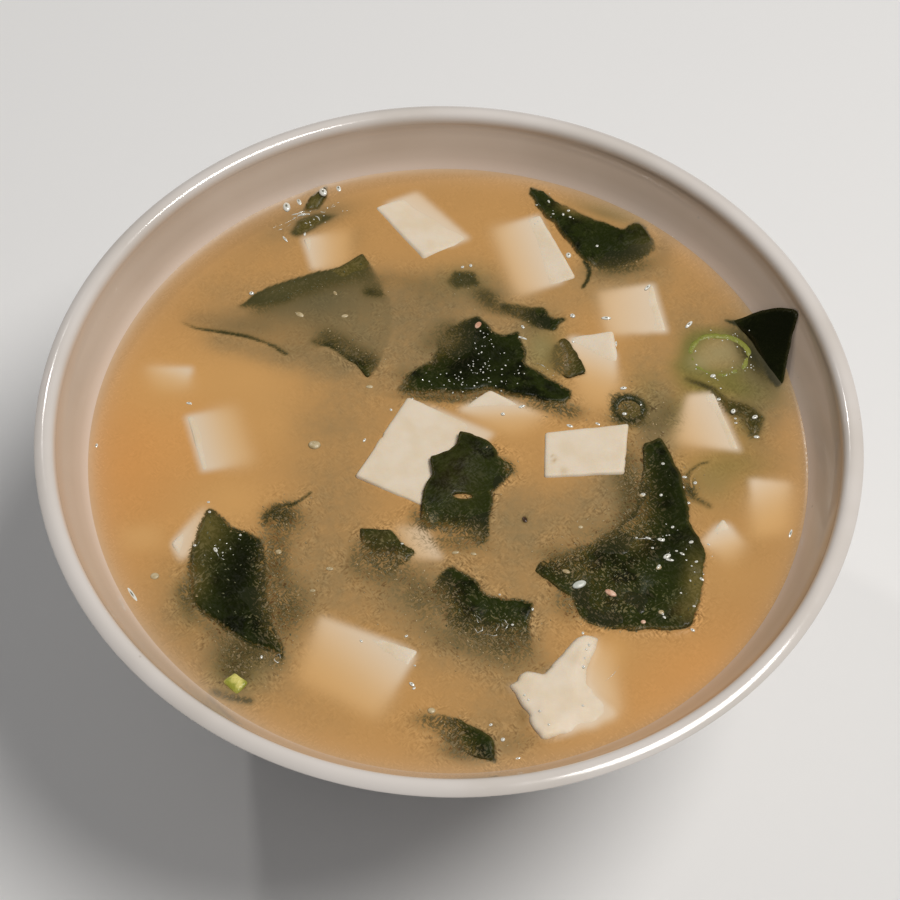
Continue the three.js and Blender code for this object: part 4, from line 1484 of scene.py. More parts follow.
# Clouds of miso.
CLOUDS = blots(
    (-8, 22, 18, 10, 0.7), (2, 29, 10, 5, 0.55), (-15, 7, 8, 7, 0.4), (-16, -8, 7, 8, 0.5),
    (-19, -22, 7, 12, 0.62), (-6, -25, 9, 8, 0.55), (4, -33, 10, 6, 0.6), (17, -12, 9, 7, 0.6),
    (24, -6, 5, 8, 0.6), (31.5, 5, 4, 8, 0.95), (24, 28, 9, 5, 0.28), (38, 22, 8, 9, 0.5),
    (9, -21, 8, 6, 0.45), (6, -45, 10, 7, 0.42), (-30, -36, 7, 7, 0.6), (46, 10, 6, 6, 0.6),
    (29, 32, 9, 4, 0.5), (-39, -28, 5, 9, 0.45), (0, 14, 13, 6, 0.4), (-34, 28, 9, 7, 0.3, 20),
    (10, -38, 6, 4, 0.35), (-25, 41, 8, 4, 0.4, 35), (45, -3, 8, 12, 0.35), (-20, -44, 10, 5, 0.25, -20),
    (9.5, -13, 4.5, 5.5, 0.62), (29.5, 14, 4, 6, 0.42), (12, -28, 4, 4, 0.4), (13, 20, 4.5, 6, 0.5),
    (49, 18, 5, 14, 0.5), (20, 8, 5, 3, 0.35), (-20, 3, 6, 5, 0.3), (-27, -38, 5, 5, 0.3),
    (3, -50, 6, 2.5, 0.4),
) + (Stroke(((-34, 18.4), (-27, 16), (-22, 15.2), (-17, 13.4)), 3, 0.5),)

# Leaves that lie just under the surface and show as grainy darkness.
SHADOWS = blots(
    (2.5, 31, 3.8, 2.6, 0.28), (6, 27.4, 2.6, 2.4, 0.3, -30), (-6, 30.5, 6, 2.4, 0.26, -12),
    (-2, 27, 5, 2, 0.14), (9, 24.9, 3.6, 1.5, 0.5, -10), (6, 27.6, 2.6, 1.6, 0.42, -30),
    (14.2, 22.8, 3, 1.8, 0.5, 20), (0.2, 20.8, 3, 2.8, 0.5), (-3, 18, 2.6, 3, 0.3),
    (-6.8, 12.6, 2.6, 2.2, 0.3), (-2, 8.3, 6.5, 0.9, 0.6, -4), (6, 9, 5, 1, 0.45),
    (15.6, 6.9, 4.4, 1.2, 0.6, -8), (18.2, 5.2, 2.4, 1.4, 0.35), (16, 15.6, 1.8, 3.2, 0.38),
    (25.4, 8.4, 1.4, 1.6, 0.5), (25.6, 4.8, 1.8, 1, 0.5), (30.4, 3.2, 2.6, 3.6, 0.24),
    (27.2, 6.7, 1.9, 1.8, 0.6), (27.6, 4, 2.4, 0.8, 0.5), (33.2, 6, 2.4, 4, 0.32),
    (26.6, -7, 3, 8, 0.55, 6), (22.5, -15.4, 4.8, 2, 0.3, 26), (14.6, -18.4, 3.6, 1.6, 0.32, 10),
    (19, -14, 4.6, 2, 0.16, 25), (24, -2, 2, 3, 0.2), (16.4, -27, 2.4, 3.4, 0.4, 25),
    (0.8, -17, 5.6, 2, 0.42, -8), (8.8, -3.9, 2, 1.1, 0.5, -55), (-4.9, -12.8, 1.5, 2.4, 0.4),
    (-9.6, -21.4, 5, 2.4, 0.42), (-13.6, -18.8, 1.3, 3, 0.36), (-9, -24.6, 5.2, 2.8, 0.16),
    (-3.8, -26, 3, 4.2, 0.4, 20), (2.2, -32.8, 6.4, 2.8, 0.4, -12), (8.6, -35, 5, 3.4, 0.34),
    (-8.4, -28.6, 4.6, 3.4, 0.12), (-25.2, -20, 2.8, 7.4, 0.52), (-23.4, -29, 3, 4.8, 0.42),
    (-21.2, -26.5, 3.4, 4.2, 0.24), (-37.3, -25.5, 1.3, 3.8, 0.34), (-29.6, -35.6, 4.8, 3.4, 0.48, 10),
    (-29.6, -38.4, 2.2, 2.4, 0.45), (-24.6, -12.5, 2.5, 1.7, 0.68), (-22.6, -13.8, 3.2, 3.2, 0.26),
    (-1.6, -45.8, 2.8, 1.6, 0.34, -22), (-4.2, -45.2, 2.4, 1.6, 0.26), (1, -50, 3.6, 1.6, 0.45, -14),
    (9.2, -48.4, 4.2, 2.2, 0.26, 15), (9.8, -44.4, 1, 1.6, 0.3), (43.4, 6.8, 2.8, 1.5, 0.7, -18),
    (45.6, 4, 1.6, 2.8, 0.6), (26.8, -13.8, 2, 2.8, 0.5, 30), (35.2, -7.4, 1.3, 2.6, 0.5),
    (38, -6.6, 3.2, 3.6, 0.16), (46.9, 16.6, 2.1, 6.6, 0.85, 25), (13.8, -37.4, 1.6, 1, 0.3, 30),
    (-11.4, 29.6, 2.2, 2.6, 0.3), (27.4, 33.8, 6.4, 2.2, 0.58, 10), (25.5, 44.4, 5.5, 1.1, 0.28, -22),
    (10.9, -13, 0.5, 0.6, 0.8), (5.9, -10, 0.7, 5, 0.3, -4), (-21, 43, 4.6, 1.8, 0.3, 28),
) + (
    Stroke(
        tuple(((27.2 + 2.3 * math.cos(a / 4), 6.7 + 2.2 * math.sin(a / 4)) for a in range(27))), 0.6, 0.75,
    ),
    Stroke(((-38, -25), (-36.2, -29), (-32.4, -32.2), (-27, -35.2), (-24, -36.4)), 1.6, 0.3),
    Stroke(((-32.6, -41.2), (-30.6, -41.9), (-27.6, -42.4)), 0.7, 0.6),
    Stroke(((-26.8, -13.8), (-26.4, -12.3), (-25, -11.1), (-22.8, -10.6)), 0.6, 0.45),
    Stroke(((-23.4, -10.8), (-22.2, -10.3), (-21, -9.3), (-20.2, -8.5)), 0.2, 0.8),
    Stroke(((36.4, 12.2), (38.4, 11.2), (40, 10.2), (41, 8.8)), 0.65, 0.5),
    Stroke(((35.2, -7.8), (36.4, -9.4), (38, -10.5)), 0.6, 0.45),
    Stroke(((35, -5.4), (35.8, -4.2), (37, -3.2), (38.4, -2.8)), 0.26, 0.5),
    Stroke(((21.6, 34.6), (22.2, 33.6), (22.3, 32.4), (21.9, 31), (21.1, 29.6)), 0.3, 0.9),
)

# Olive haze of scallion below the surface.
HAZE = blots(
    (41.6, 16.6, 4.6, 3.8, 0.35), (43.6, 11, 6, 3, 0.85, -12), (38.2, 11, 3.4, 1.8, 0.7, -25),
    (37, 14.4, 2.2, 3.4, 0.7), (38, 19.4, 2, 2.4, 0.65), (34.9, 5.6, 1.8, 4.4, 0.6, -12),
    (38.6, -5.6, 4.6, 5, 0.45), (26.5, 44.6, 6.5, 1.8, 0.5, -22), (36, 14.6, 2, 1.6, 0.6),
    (42.6, -3, 5, 3, 0.42), (47.6, 16.5, 2.2, 5, 0.5), (-30, -38.5, 3.6, 3.2, 0.5),
    (27.2, 5.9, 2.2, 2, 0.85), (44.8, 4.2, 2.4, 3.4, 0.5), (14.8, 17, 3, 4.8, 0.6),
    (-36.5, -26, 3, 6, 0.25), (30, 10, 3, 4, 0.25), (2.4, 31, 4.5, 3, 0.3),
) + (
    Stroke(
        tuple(((41.6 + 4.7 * math.cos(a / 8), 16.9 + 4.0 * math.sin(a / 8)) for a in range(51))), 1.3, 0.85,
    ),
)

# The pale pith within the slices of scallion.
PITH = blots(
    (41.8, 17.2, 3.4, 2.8, 0.75), (38.4, 15.4, 2, 1.6, 0.6, 20), (44.2, 18.4, 1.6, 1.6, 0.4),
    (38.6, -6.6, 2.6, 2.8, 0.15), (14.4, 17.4, 1.8, 2.6, 0.4),
)

# Places where the broth is more orange.
AMBER = blots((-48, -3, 9, 15, 0.8), (33, -38, 12, 6, 0.6, 38), (-38, 2, 8, 9, 0.4))

# Smooth dark film, and places where the broth is lighter or darker than elsewhere.
MURKS = blots(
    (47, 15, 2.8, 6.2, 0.7, 6), (45, 21, 2.4, 2, 0.45, -30), (-20, 43.4, 6, 2.2, 0.5, 24),
    (34.2, 37.4, 1.8, 2.8, 0.4), (-6, 26, 9, 6, 0.3), (31.5, 3.5, 3.4, 5, 0.3), (6.6, 28.6, 3.4, 2.2, 0.2),
    (24.8, -6, 2.2, 7, 0.2, 6), (-15, 38.8, 1.8, 3.6, 0.2, -25), (-18, 15.8, 3, 2, 0.2, -30),
) + (
    Stroke(((-36, 19.2), (-28, 16.6), (-22, 16.2), (-17, 14.8)), 2.2, 0.2),
    Stroke(((-39, 23), (-34, 22.6), (-29, 21.4)), 1.9, 0.28),
)
LIFTS = blots(
    (-30, 42, 10, 5, -0.1, 30), (26, 46, 12, 6, -0.14, -30), (-37, -33, 8, 10, -0.08, 40),
    (-40, 12, 6, 3, 0.08), (-38, -14, 4, 4, 0.08), (43, -24, 9, 12, -0.11), (-36, 0, 8, 8, 0.06),
    (-44, 5, 8, 14, 0.06), (0, 48, 12, 4, -0.04), (42, 28, 8, 8, -0.08), (0, -50, 20, 4, -0.03),
    (36, -36, 12, 5, 0.03, 40), (48, 6, 5, 14, -0.08), (-44, 25, 5, 5, -0.04), (-14, 21.5, 5, 5, 0.12),
    (-24.5, 22.5, 4, 2.5, 0.06),
)

# Smooth broth, where hardly any grain of the miso shows.
CALM = blots(
    (42, 17, 7, 6, 0.9), (-20, 26, 12, 8, 0.35), (-32, 22.6, 5, 2.6, 0.8), (40, -5, 6, 5, 0.7),
    (48, 16, 5, 9, 0.8), (39.5, -22, 3.6, 10, 0.95), (28, -34.4, 11, 3, 0.8), (50, 2, 3.6, 9, 0.9),
    (37, -12, 2.4, 4, 0.7), (25, 44, 9, 3.5, 0.9, -22), (-34, -10, 6, 4, 0.8), (15, 16, 3, 5, 0.7),
    (-20, 44, 6, 4, 0.7, 20),
)

# Where foam gathers and how thickly, and where the miso leaves pale grains on a leaf.
FOAM = blots(
    (4.6, 18.6, 2.2, 3.2, 0.6, 20), (5.6, 13.4, 3.4, 2.4, 0.75), (-0.6, 11.2, 3, 1.2, 0.9, 10),
    (4, 10.4, 4, 1, 0.6), (10.4, 12.6, 2.4, 1.8, 0.3), (33, -17.6, 4, 2.2, 0.22, -30),
    (-33.4, -18.8, 1.6, 1.6, 0.4), (-29.6, -16.4, 1.6, 0.6, 0.4), (17.2, 44, 2.2, 3.2, 0.15, 40),
    (43, 13.2, 3.2, 0.9, 0.9, 15), (46.2, 16.2, 0.9, 2.4, 0.9), (42.6, 20, 3.2, 0.8, 0.7, -10),
    (38.6, 14.8, 1.2, 1.6, 0.5), (44.6, 15.4, 1, 0.6, 0.8), (-20.5, 43.2, 3.6, 1.6, 0.4, 25),
    (34.6, -22, 1.2, 2.2, 0.2),
)
PALE_GRAINS = blots(
    (17, -21, 5, 2.6, 1, -12), (23, -26, 7, 5, 0.8), (30, -27, 4, 3, 0.5), (-26, -24, 5, 10, 0.7),
    (-8, -20, 6, 5, 0.7), (4, -30, 8, 5, 0.7), (26, -6, 4, 9, 0.8), (-18, 24, 12, 8, 0.6),
    (-1, -15, 6, 3, 0.7), (45, 4, 3, 4, 0.5), (24, -19, 5, 3, 0.7), (2, 30, 5, 3, 0.6),
    (-35, -20, 3, 8, 0.5),
)


def leaf_height(leaf: Leaf, blocks: dict[str, Block], x: Array, y: Array) -> Array:
    """The height of a leaf above the broth, with its waves and what it lies on.

    Args:
        leaf: The leaf.
        blocks: The blocks of tofu by name.
        x: Where to read it, across.
        y: Where to read it, away.

    Returns:
        The height at each place.
    """
    corners = leaf.outline()
    low, high = corners.min(axis=0) - 1, corners.max(axis=0) + 1
    middle, reach = (low + high) / 2, (high - low) / 2
    seed = float(len(leaf.name)) + leaf.corners[0][0]
    z = plane(leaf.corners, x, y) if leaf.flat else through(leaf.corners, x, y)
    u, v = (x - middle[0]) / reach[0], (y - middle[1]) / reach[1]
    z = z - leaf.sag * np.maximum(0, 1 - u**2 - v**2)
    z = z + leaf.wave * (ripple(x, y, 4.2, seed) + 0.45 * ripple(x, y, 1.7, seed + 2))
    for name in leaf.over:
        block = blocks[name]
        near = inside(block.outline(), x, y) | (away_from(block.outline(), x, y) < 0.6)
        z = np.where(near, np.maximum(z, block.top(x, y) + LEAF_THICKNESS + 0.06), z)
    return z


def sunk_where_veiled(z: Array, seen: Array) -> Array:
    """Let a leaf dip under the broth where the broth veils it."""
    clear = smoothstep(0.25, 0.7, seen)
    return z * clear + np.minimum(z, -DIP) * (1 - clear)


# ------------------------------------------------------------------ the charts of the soup


@dataclass
class Chart:
    """A square grid of spots over the soup."""

    half: float = 56.0
    pitch: float = 0.2

    def __post_init__(self) -> None:
        """Lay out the spots."""
        line = np.arange(-self.half, self.half + self.pitch / 2, self.pitch)
        self.x, self.y = np.meshgrid(line, line)

    def blank(self) -> Array:
        """A chart of zeros."""
        return np.zeros_like(self.x)

    def blur(self, values: Array, size: float) -> Array:
        """Soften a chart.

        Args:
            values: The chart.
            size: The distance over which it is softened.

        Returns:
            The softened chart.
        """
        wave = np.fft.fftfreq(values.shape[0], self.pitch)
        fade = np.exp(-2 * (math.pi * size * wave) ** 2)
        return np.real(np.fft.ifft2(np.fft.fft2(values) * fade[:, None] * fade[None, :]))

    def window(self, outline: Array) -> tuple[slice, slice]:
        """Find the spots that an outline covers.

        Args:
            outline: The outline's points, x and y.

        Returns:
            The rows and the columns.
        """
        low = np.maximum(((outline.min(axis=0) + self.half) / self.pitch).astype(int) - 2, 0)
        high = ((outline.max(axis=0) + self.half) / self.pitch).astype(int) + 3
        return slice(low[1], high[1]), slice(low[0], high[0])

    def read(self, values: Array, x: Array, y: Array) -> Array:
        """Read a chart between its spots.

        Args:
            values: The chart.
            x: The places, across.
            y: The places, away.

        Returns:
            The value at each place.
        """
        last = values.shape[0] - 2
        gx = np.clip((x + self.half) / self.pitch, 0, last)
        gy = np.clip((y + self.half) / self.pitch, 0, last)
        i, j = gx.astype(int), gy.astype(int)
        u, v = gx - i, gy - j
        near = values[j, i] * (1 - u) + values[j, i + 1] * u
        far = values[j + 1, i] * (1 - u) + values[j + 1, i + 1] * u
        return near * (1 - v) + far * v


@dataclass
class Soup:
    """Where everything stands and shows, as charts that every piece reads."""

    level: float
    chart: Chart = field(default_factory=Chart)
    tofu_fade: float = 1.45
    tofu_skin: float = 0.3

    def __post_init__(self) -> None:
        """Draw the charts."""
        self.blocks = {block.name: block for block in TOFU}
        self.edges = {
            leaf.name: torn(leaf.outline(), 0.34, 0.35, leaf.tear, leaf.corners[0][0]) for leaf in WAKAME
        }
        self.broken_edge = torn(BROKEN.outline()[:-BROKEN_LUMPS], 0.3, 0.2, 0.14, 4.0)
        self.top = self.chart.blank()
        self.maps: dict[str, Array] = {}
        self.draw_tofu()
        self.draw_leaves()
        self.draw_miso()

    def tofu_seen(self, height: Array) -> Array:
        """How clearly tofu shows from its height above the broth."""
        return np.exp(-np.maximum(self.tofu_skin - height, 0) / self.tofu_fade)

    def broken_height(self, x: Array, y: Array) -> Array:
        """The craggy top of the broken lump of tofu.

        Args:
            x: The places, across.
            y: The places, away.

        Returns:
            The height at each place.
        """
        crags = 0.07 * ripple(x, y, 3.4, 8.0) + 0.03 * ripple(x, y, 0.8, 9.0)
        drop = np.clip(1 - away_from(self.broken_edge, x, y) / 0.7, 0, 1)
        return through(BROKEN.corners, x, y) + crags - 0.45 * drop**2

    def draw_tofu(self) -> None:
        """Chart how clearly the tofu shows through the broth."""
        chart = self.chart
        near, deep, near_seen, deep_seen = (chart.blank() for _ in range(4))
        self.tofu_here = np.zeros(chart.x.shape, dtype=bool)
        shapes = [(block.outline(), block.top) for block in (*self.blocks.values(), *SUNK_TOFU)]
        shapes.append((self.broken_edge, self.broken_height))
        for outline, top in shapes:
            spot = chart.window(outline)
            x, y = chart.x[spot], chart.y[spot]
            z = top(x, y)
            within = inside(outline, x, y)
            close = within * smoothstep(-0.8, 0.0, z) * smoothstep(0.3, 0.15, z)
            far = within * (1 - smoothstep(-0.8, 0.0, z))
            near[spot] = np.maximum(near[spot], close)
            deep[spot] = np.maximum(deep[spot], far)
            near_seen[spot] = np.maximum(near_seen[spot], close * self.tofu_seen(z))
            deep_seen[spot] = np.maximum(deep_seen[spot], far * self.tofu_seen(z))
            self.top[spot] = np.maximum(self.top[spot], np.where(within, z, 0))
            self.tofu_here[spot] |= within & (z > -0.6)
        cover = np.clip(chart.blur(near, 0.4) + chart.blur(deep, 1.0), 0, None)
        seen = chart.blur(near_seen, 0.4) + chart.blur(deep_seen, 1.0)
        self.maps["tofu_cover"] = np.clip(cover, 0, 1)
        self.maps["tofu_seen"] = np.clip(seen / np.maximum(cover, 0.02), 0, 1)
        self.maps["glow"] = gathered(SUNK_GLOW, chart.x, chart.y)
        self.wall = (self.top > 0.25).astype(float)

    def draw_leaves(self) -> None:
        """Chart how clearly the leaves show, and the smooth dark film."""
        chart = self.chart
        shown, murk, olive = chart.blank(), chart.blank(), chart.blank()
        for leaf in WAKAME:
            edge = self.edges[leaf.name]
            spot = chart.window(edge)
            x, y = chart.x[spot], chart.y[spot]
            within = inside(edge, x, y)
            for hole in leaf.hole_outlines():
                within &= ~inside(hole, x, y)
            seen = leaf.seen(x, y, away_from(edge, x, y))
            z = sunk_where_veiled(leaf_height(leaf, self.blocks, x, y), seen)
            shown[spot] = np.maximum(shown[spot], np.where(within, seen, 0))
            murk[spot] = np.maximum(murk[spot], np.where(within, gathered(leaf.murks, x, y), 0))
            olive[spot] = np.maximum(olive[spot], np.where(within, gathered(leaf.olive, x, y), 0))
            self.top[spot] = np.maximum(self.top[spot], np.where(within, z, 0))
            self.wall[spot] = np.maximum(self.wall[spot], within & (z > 0.05))
        shadows = gathered(SHADOWS, chart.x, chart.y)
        self.maps["leaf_seen"] = 1 - (1 - np.clip(chart.blur(shown, 0.14), 0, 1)) * (1 - shadows)
        self.maps["olive"] = np.clip(chart.blur(olive, 0.3), 0, 1)
        smooth = gathered(MURKS, chart.x, chart.y)
        self.maps["murk"] = 1 - (1 - np.clip(chart.blur(murk, 0.2), 0, 1)) * (1 - smooth)

    def draw_miso(self) -> None:
        """Chart the clouds of miso, the haze, the grain, and the lighter and darker places."""
        chart = self.chart
        x, y = chart.x, chart.y
        near_leaves = np.clip(chart.blur(self.maps["leaf_seen"], 2.4), 0, 1)
        rough = np.clip(1.7 * chart.blur(self.maps["leaf_seen"], 1.3), 0, 1) * (1 - gathered(CALM, x, y))
        rough *= 1 - 0.65 * smoothstep(0.0, 32.0, y)
        clouds = gathered(CLOUDS, x, y)
        self.maps["cloud"] = np.clip(clouds + 0.35 * near_leaves, 0, 1.1)
        self.maps["grain"] = np.clip(0.02 + 0.07 * clouds + rough, 0, 1)
        self.maps["green"] = gathered(HAZE, x, y)
        self.maps["amber"] = gathered(AMBER, x, y)
        self.maps["pith"] = gathered(PITH, x, y)
        self.maps["speckle"] = gathered(PALE_GRAINS, x, y)
        self.maps["lift"] = 1.0 + sum(blot.over(x, y) for blot in LIFTS)

    def mark(self, piece: Piece, x: Array, y: Array, **own: Array) -> None:
        """Store the charts on a piece for its material to read.

        Args:
            piece: The piece.
            x: Its points, across.
            y: Its points, away.
            own: Values of its own, which stand for a chart of the same name.
        """
        for name, values in self.maps.items():
            put_attribute(piece, name, own.pop(name) if name in own else self.chart.read(values, x, y))
        for name, values in own.items():
            put_attribute(piece, name, values)


@dataclass
class Broth:
    """The broth: one closed body from its surface down the inside of the bowl."""

    bowl: Bowl
    soup: Soup
    creep: float = 0.75
    creep_reach: float = 1.1
    ridge: float = 0.4
    columns: int = 283
    into_wall: float = 0.25
    # How far the painted reflection along the shore reaches, and the side where it is brightest.
    shore_reach: float = 1.5
    bright_side: float = 145.0
    finish: BrothFinish = field(default_factory=BrothFinish)

    def surface(self) -> tuple[Array, Array]:
        """Spread the surface's points evenly over the round of the bowl.

        Returns:
            The points, x and y, and the four-sided faces between them.
        """
        line = np.linspace(-1, 1, self.columns)
        u, v = np.meshgrid(line, line)
        wide = np.abs(u) > np.abs(v)
        radius = np.maximum(np.abs(u), np.abs(v))
        safe = np.maximum(radius, 1e-9)
        angle = np.where(wide, math.pi / 4 * v / safe, math.pi / 2 - math.pi / 4 * u / safe)
        x = np.where(wide, np.sign(u), 1.0) * radius * np.cos(angle)
        y = np.where(wide, 1.0, np.sign(v)) * radius * np.sin(angle)
        edge = self.bowl.inside_radius(self.soup.level + self.creep) + self.into_wall
        n = self.columns
        corner = (np.arange(n - 1)[:, None] * n + np.arange(n - 1)[None, :]).ravel()
        faces = np.c_[corner, corner + 1, corner + n + 1, corner + n]
        return np.c_[x.ravel(), y.ravel()] * edge, faces

    def build(self) -> Piece:
        """Make the body, mark it with the charts and colour it.

        Returns:
            The broth.
        """
        soup, chart = self.soup, self.soup.chart
        flat, faces = self.surface()
        radius = np.hypot(flat[:, 0], flat[:, 1])
        edge = radius.max()
        foot = chart.blur(soup.wall, 0.6) * (1 - chart.blur(soup.wall, 0.3))
        rise = self.ridge * chart.read(foot, flat[:, 0], flat[:, 1])
        rise += self.creep * np.exp(-(edge - radius) / self.creep_reach)
        rise += 0.03 * ripple(flat[:, 0], flat[:, 1], 9.0, 5.0)
        top = np.c_[flat, soup.level + rise]
        n = self.columns
        ring = [*range(n), *range(2 * n - 1, n * n, n)]
        ring += [*range(n * n - 2, n * n - n - 1, -1), *range(n * n - 2 * n, 0, -n)]
        count = len(ring)
        wall = self.bowl.inside_wall()
        lower = wall[(wall[:, 1] < soup.level - 1.0) & (wall[:, 0] > 1.0)][::-4]
        turns = np.arctan2(top[ring, 1], top[ring, 0])
        points, quads = [top], [tuple(f) for f in faces]
        previous, start = ring, len(top)
        for r, z in lower:
            reach = r + self.into_wall
            points.append(np.c_[reach * np.cos(turns), reach * np.sin(turns), np.full(count, z)])
            current = list(range(start, start + count))
            for i in range(count):
                j = (i + 1) % count
                quads.append((previous[j], previous[i], current[i], current[j]))
            previous, start = current, start + count
        points.append(np.array([(0, 0, wall[0, 1] - self.into_wall)]))
        quads += [(previous[(i + 1) % count], previous[i], start) for i in range(count)]
        every = np.vstack(points)
        broth = make_object("broth_surface", every, quads)
        x, y = every[:, 0], every[:, 1]
        # The painted reflection along the shore is brightest on the lit side.
        lit = 0.5 + 0.5 * np.cos(np.arctan2(y, x) - math.radians(self.bright_side))
        shore = (0.25 + 0.5 * lit) * np.exp(-(edge - np.hypot(x, y)) / self.shore_reach)
        soup.mark(broth, x, y, shore=shore)
        return dress(broth, self.finish.material(), "broth")


# ------------------------------------------------------------------ tofu, wakame and scallion


@dataclass
class Toppings:
    """Everything that floats, each piece as a mesh of its own."""

    soup: Soup
    tofu_finish: TofuFinish = field(default_factory=TofuFinish)
    wakame_finish: WakameFinish = field(default_factory=WakameFinish)
    tofu_cell: float = 0.4
    leaf_cell: float = 0.5
    edge_round: float = 0.6
    ring_squareness: float = 0.6

    def skin_of_box(self, counts: Array) -> tuple[Array, Faces]:
        """The grid points and faces on the skin of a box of cells.

        Args:
            counts: How many cells the box has each way.

        Returns:
            The points in cells, and the faces.
        """
        index: dict[tuple[int, int, int], int] = {}

        def side(*corners: tuple[int, int, int]) -> None:
            """Add the face between four corners."""
            faces.append(tuple(index.setdefault(corner, len(index)) for corner in corners))

        faces: Faces = []
        ni, nj, nk = (int(c) for c in counts)
        for i in range(ni):
            for j in range(nj):
                side((i, j, nk), (i + 1, j, nk), (i + 1, j + 1, nk), (i, j + 1, nk))
                side((i, j, 0), (i, j + 1, 0), (i + 1, j + 1, 0), (i + 1, j, 0))
        for i in range(ni):
            for k in range(nk):
                side((i, 0, k), (i + 1, 0, k), (i + 1, 0, k + 1), (i, 0, k + 1))
                side((i, nj, k), (i, nj, k + 1), (i + 1, nj, k + 1), (i + 1, nj, k))
        for j in range(nj):
            for k in range(nk):
                side((0, j, k), (0, j, k + 1), (0, j + 1, k + 1), (0, j + 1, k))
                side((ni, j, k), (ni, j + 1, k), (ni, j + 1, k + 1), (ni, j, k + 1))
        return np.array(list(index)), faces

    def block_mesh(self, block: Block) -> tuple[Array, Faces]:
        """A block with rounded, slightly chipped edges and uneven faces.

        Args:
            block: The block.

        Returns:
            Its points, with heights above the table, and its faces.
        """
        corners = np.array(block.corners)
        a = np.hypot(*(corners[1, :2] - corners[0, :2]))
        b = np.hypot(*(corners[3, :2] - corners[0, :2]))
        sizes = np.array([a, b, block.depth])
        counts = np.maximum(4, (sizes / np.array([self.tofu_cell, self.tofu_cell, 0.8])).astype(int))
        grid, faces = self.skin_of_box(counts)
        middle = sizes / 2
        box = grid / counts * sizes - middle
        rounding = min(self.edge_round, sizes.min() * 0.3)
        core = np.clip(box, rounding - middle, middle - rounding)
        over = box - core
        length = np.maximum(np.linalg.norm(over, axis=1), 1e-9)
        rounded = core + over / length[:, None] * np.minimum(length, rounding)[:, None] + middle
        u, v, w = (rounded / sizes).T
        place = (np.outer((1 - u) * (1 - v), corners[0, :2]) + np.outer(u * (1 - v), corners[1, :2])
                 + np.outer(u * v, corners[2, :2]) + np.outer((1 - u) * v, corners[3, :2]))
        outwards = place - corners[:, :2].mean(axis=0)
        outwards = outwards / np.maximum(np.hypot(*outwards.T), 1e-6)[:, None]
        place = place + outwards * (block.bulge * 4 * v * (1 - v) * u**4)[:, None]
        below = (1 - w) * block.depth
        x = place[:, 0] + block.lean[0] * below
        y = place[:, 1] + block.lean[1] * below
        z = block.top(place[:, 0], place[:, 1]) - below
        seed = block.corners[0][0]
        side = np.clip(1 - np.minimum.reduce([u * a, (1 - u) * a, v * b, (1 - v) * b]) / 0.8, 0, 1)
        swell = 0.14 * ripple(x + z, y - z, 2.8, seed) + 0.06 * ripple(x, y + z, 0.9, seed + 3)
        x, y = x + outwards[:, 0] * swell * side, y + outwards[:, 1] * swell * side
        z = z + 0.05 * ripple(x, y, 3.0, seed + 5) * (w > 0.6)
        if block.knife:
            turn, gap, deep = block.knife
            across = x * math.cos(math.radians(turn)) + y * math.sin(math.radians(turn))
            z = z - deep * np.maximum(0, np.sin(2 * math.pi * across / gap)) ** 4 * (w > 0.6)
        for dx, dy, size in block.dents:
            push = np.clip(1 - np.hypot(x - dx, y - dy) / size, 0, 1)
            z = z - 0.9 * size * push * (below < 2.5)
            x, y = x - outwards[:, 0] * 0.7 * size * push, y - outwards[:, 1] * 0.7 * size * push
        return np.c_[x, y, z + self.soup.level], faces

    def build_tofu(self) -> None:
        """Make every block of tofu and the one that broke up."""
        material = self.tofu_finish.material()
        for block in self.soup.blocks.values():
            points, faces = self.block_mesh(block)
            piece = make_object(f"{block.name}_soft", points, faces)
            x, y, height = points[:, 0], points[:, 1], points[:, 2] - self.soup.level
            top = block.top(x, y)
            height = np.where(height > top - 0.8, top, height)
            seen, stain = self.soup.tofu_seen(height), gathered(block.stains, x, y)
            self.soup.mark(piece, x, y, tofu_seen=seen, stain=stain)
            dress(piece, material, block.name)
        self.build_broken(material)

    def build_broken(self, material: Material) -> None:
        """Make the crumbled lump of tofu, with its crags.

        Args:
            material: The finish of the tofu.
        """
        soup = self.soup
        flat, faces = triangulate(soup.broken_edge, [], 0.36, 7)
        x, y = flat[:, 0], flat[:, 1]
        points = np.c_[x, y, soup.broken_height(x, y) + soup.level]
        ends = boundary_of(faces)
        foot_of = {a: len(points) + i for i, (a, _) in enumerate(ends)}
        foot = points[[a for a, _ in ends]].copy()
        middle = foot[:, :2].mean(axis=0)
        foot[:, :2] += (middle - foot[:, :2]) * 0.06
        foot[:, 2] = soup.level - BROKEN_DEPTH
        every = np.vstack([points, foot, [(*middle, soup.level - BROKEN_DEPTH)]])
        closed = [tuple(f) for f in faces]
        closed += [(b, a, foot_of[a], foot_of[b]) for a, b in ends]
        closed += [(foot_of[b], foot_of[a], len(every) - 1) for a, b in ends]
        piece = make_object("tofu_broken_soft", every, closed)
        seen = soup.tofu_seen(every[:, 2] - soup.level + 0.05)
        soup.mark(piece, every[:, 0], every[:, 1], tofu_seen=seen, stain=np.zeros(len(every)))
        dress(piece, material, "tofu_broken")

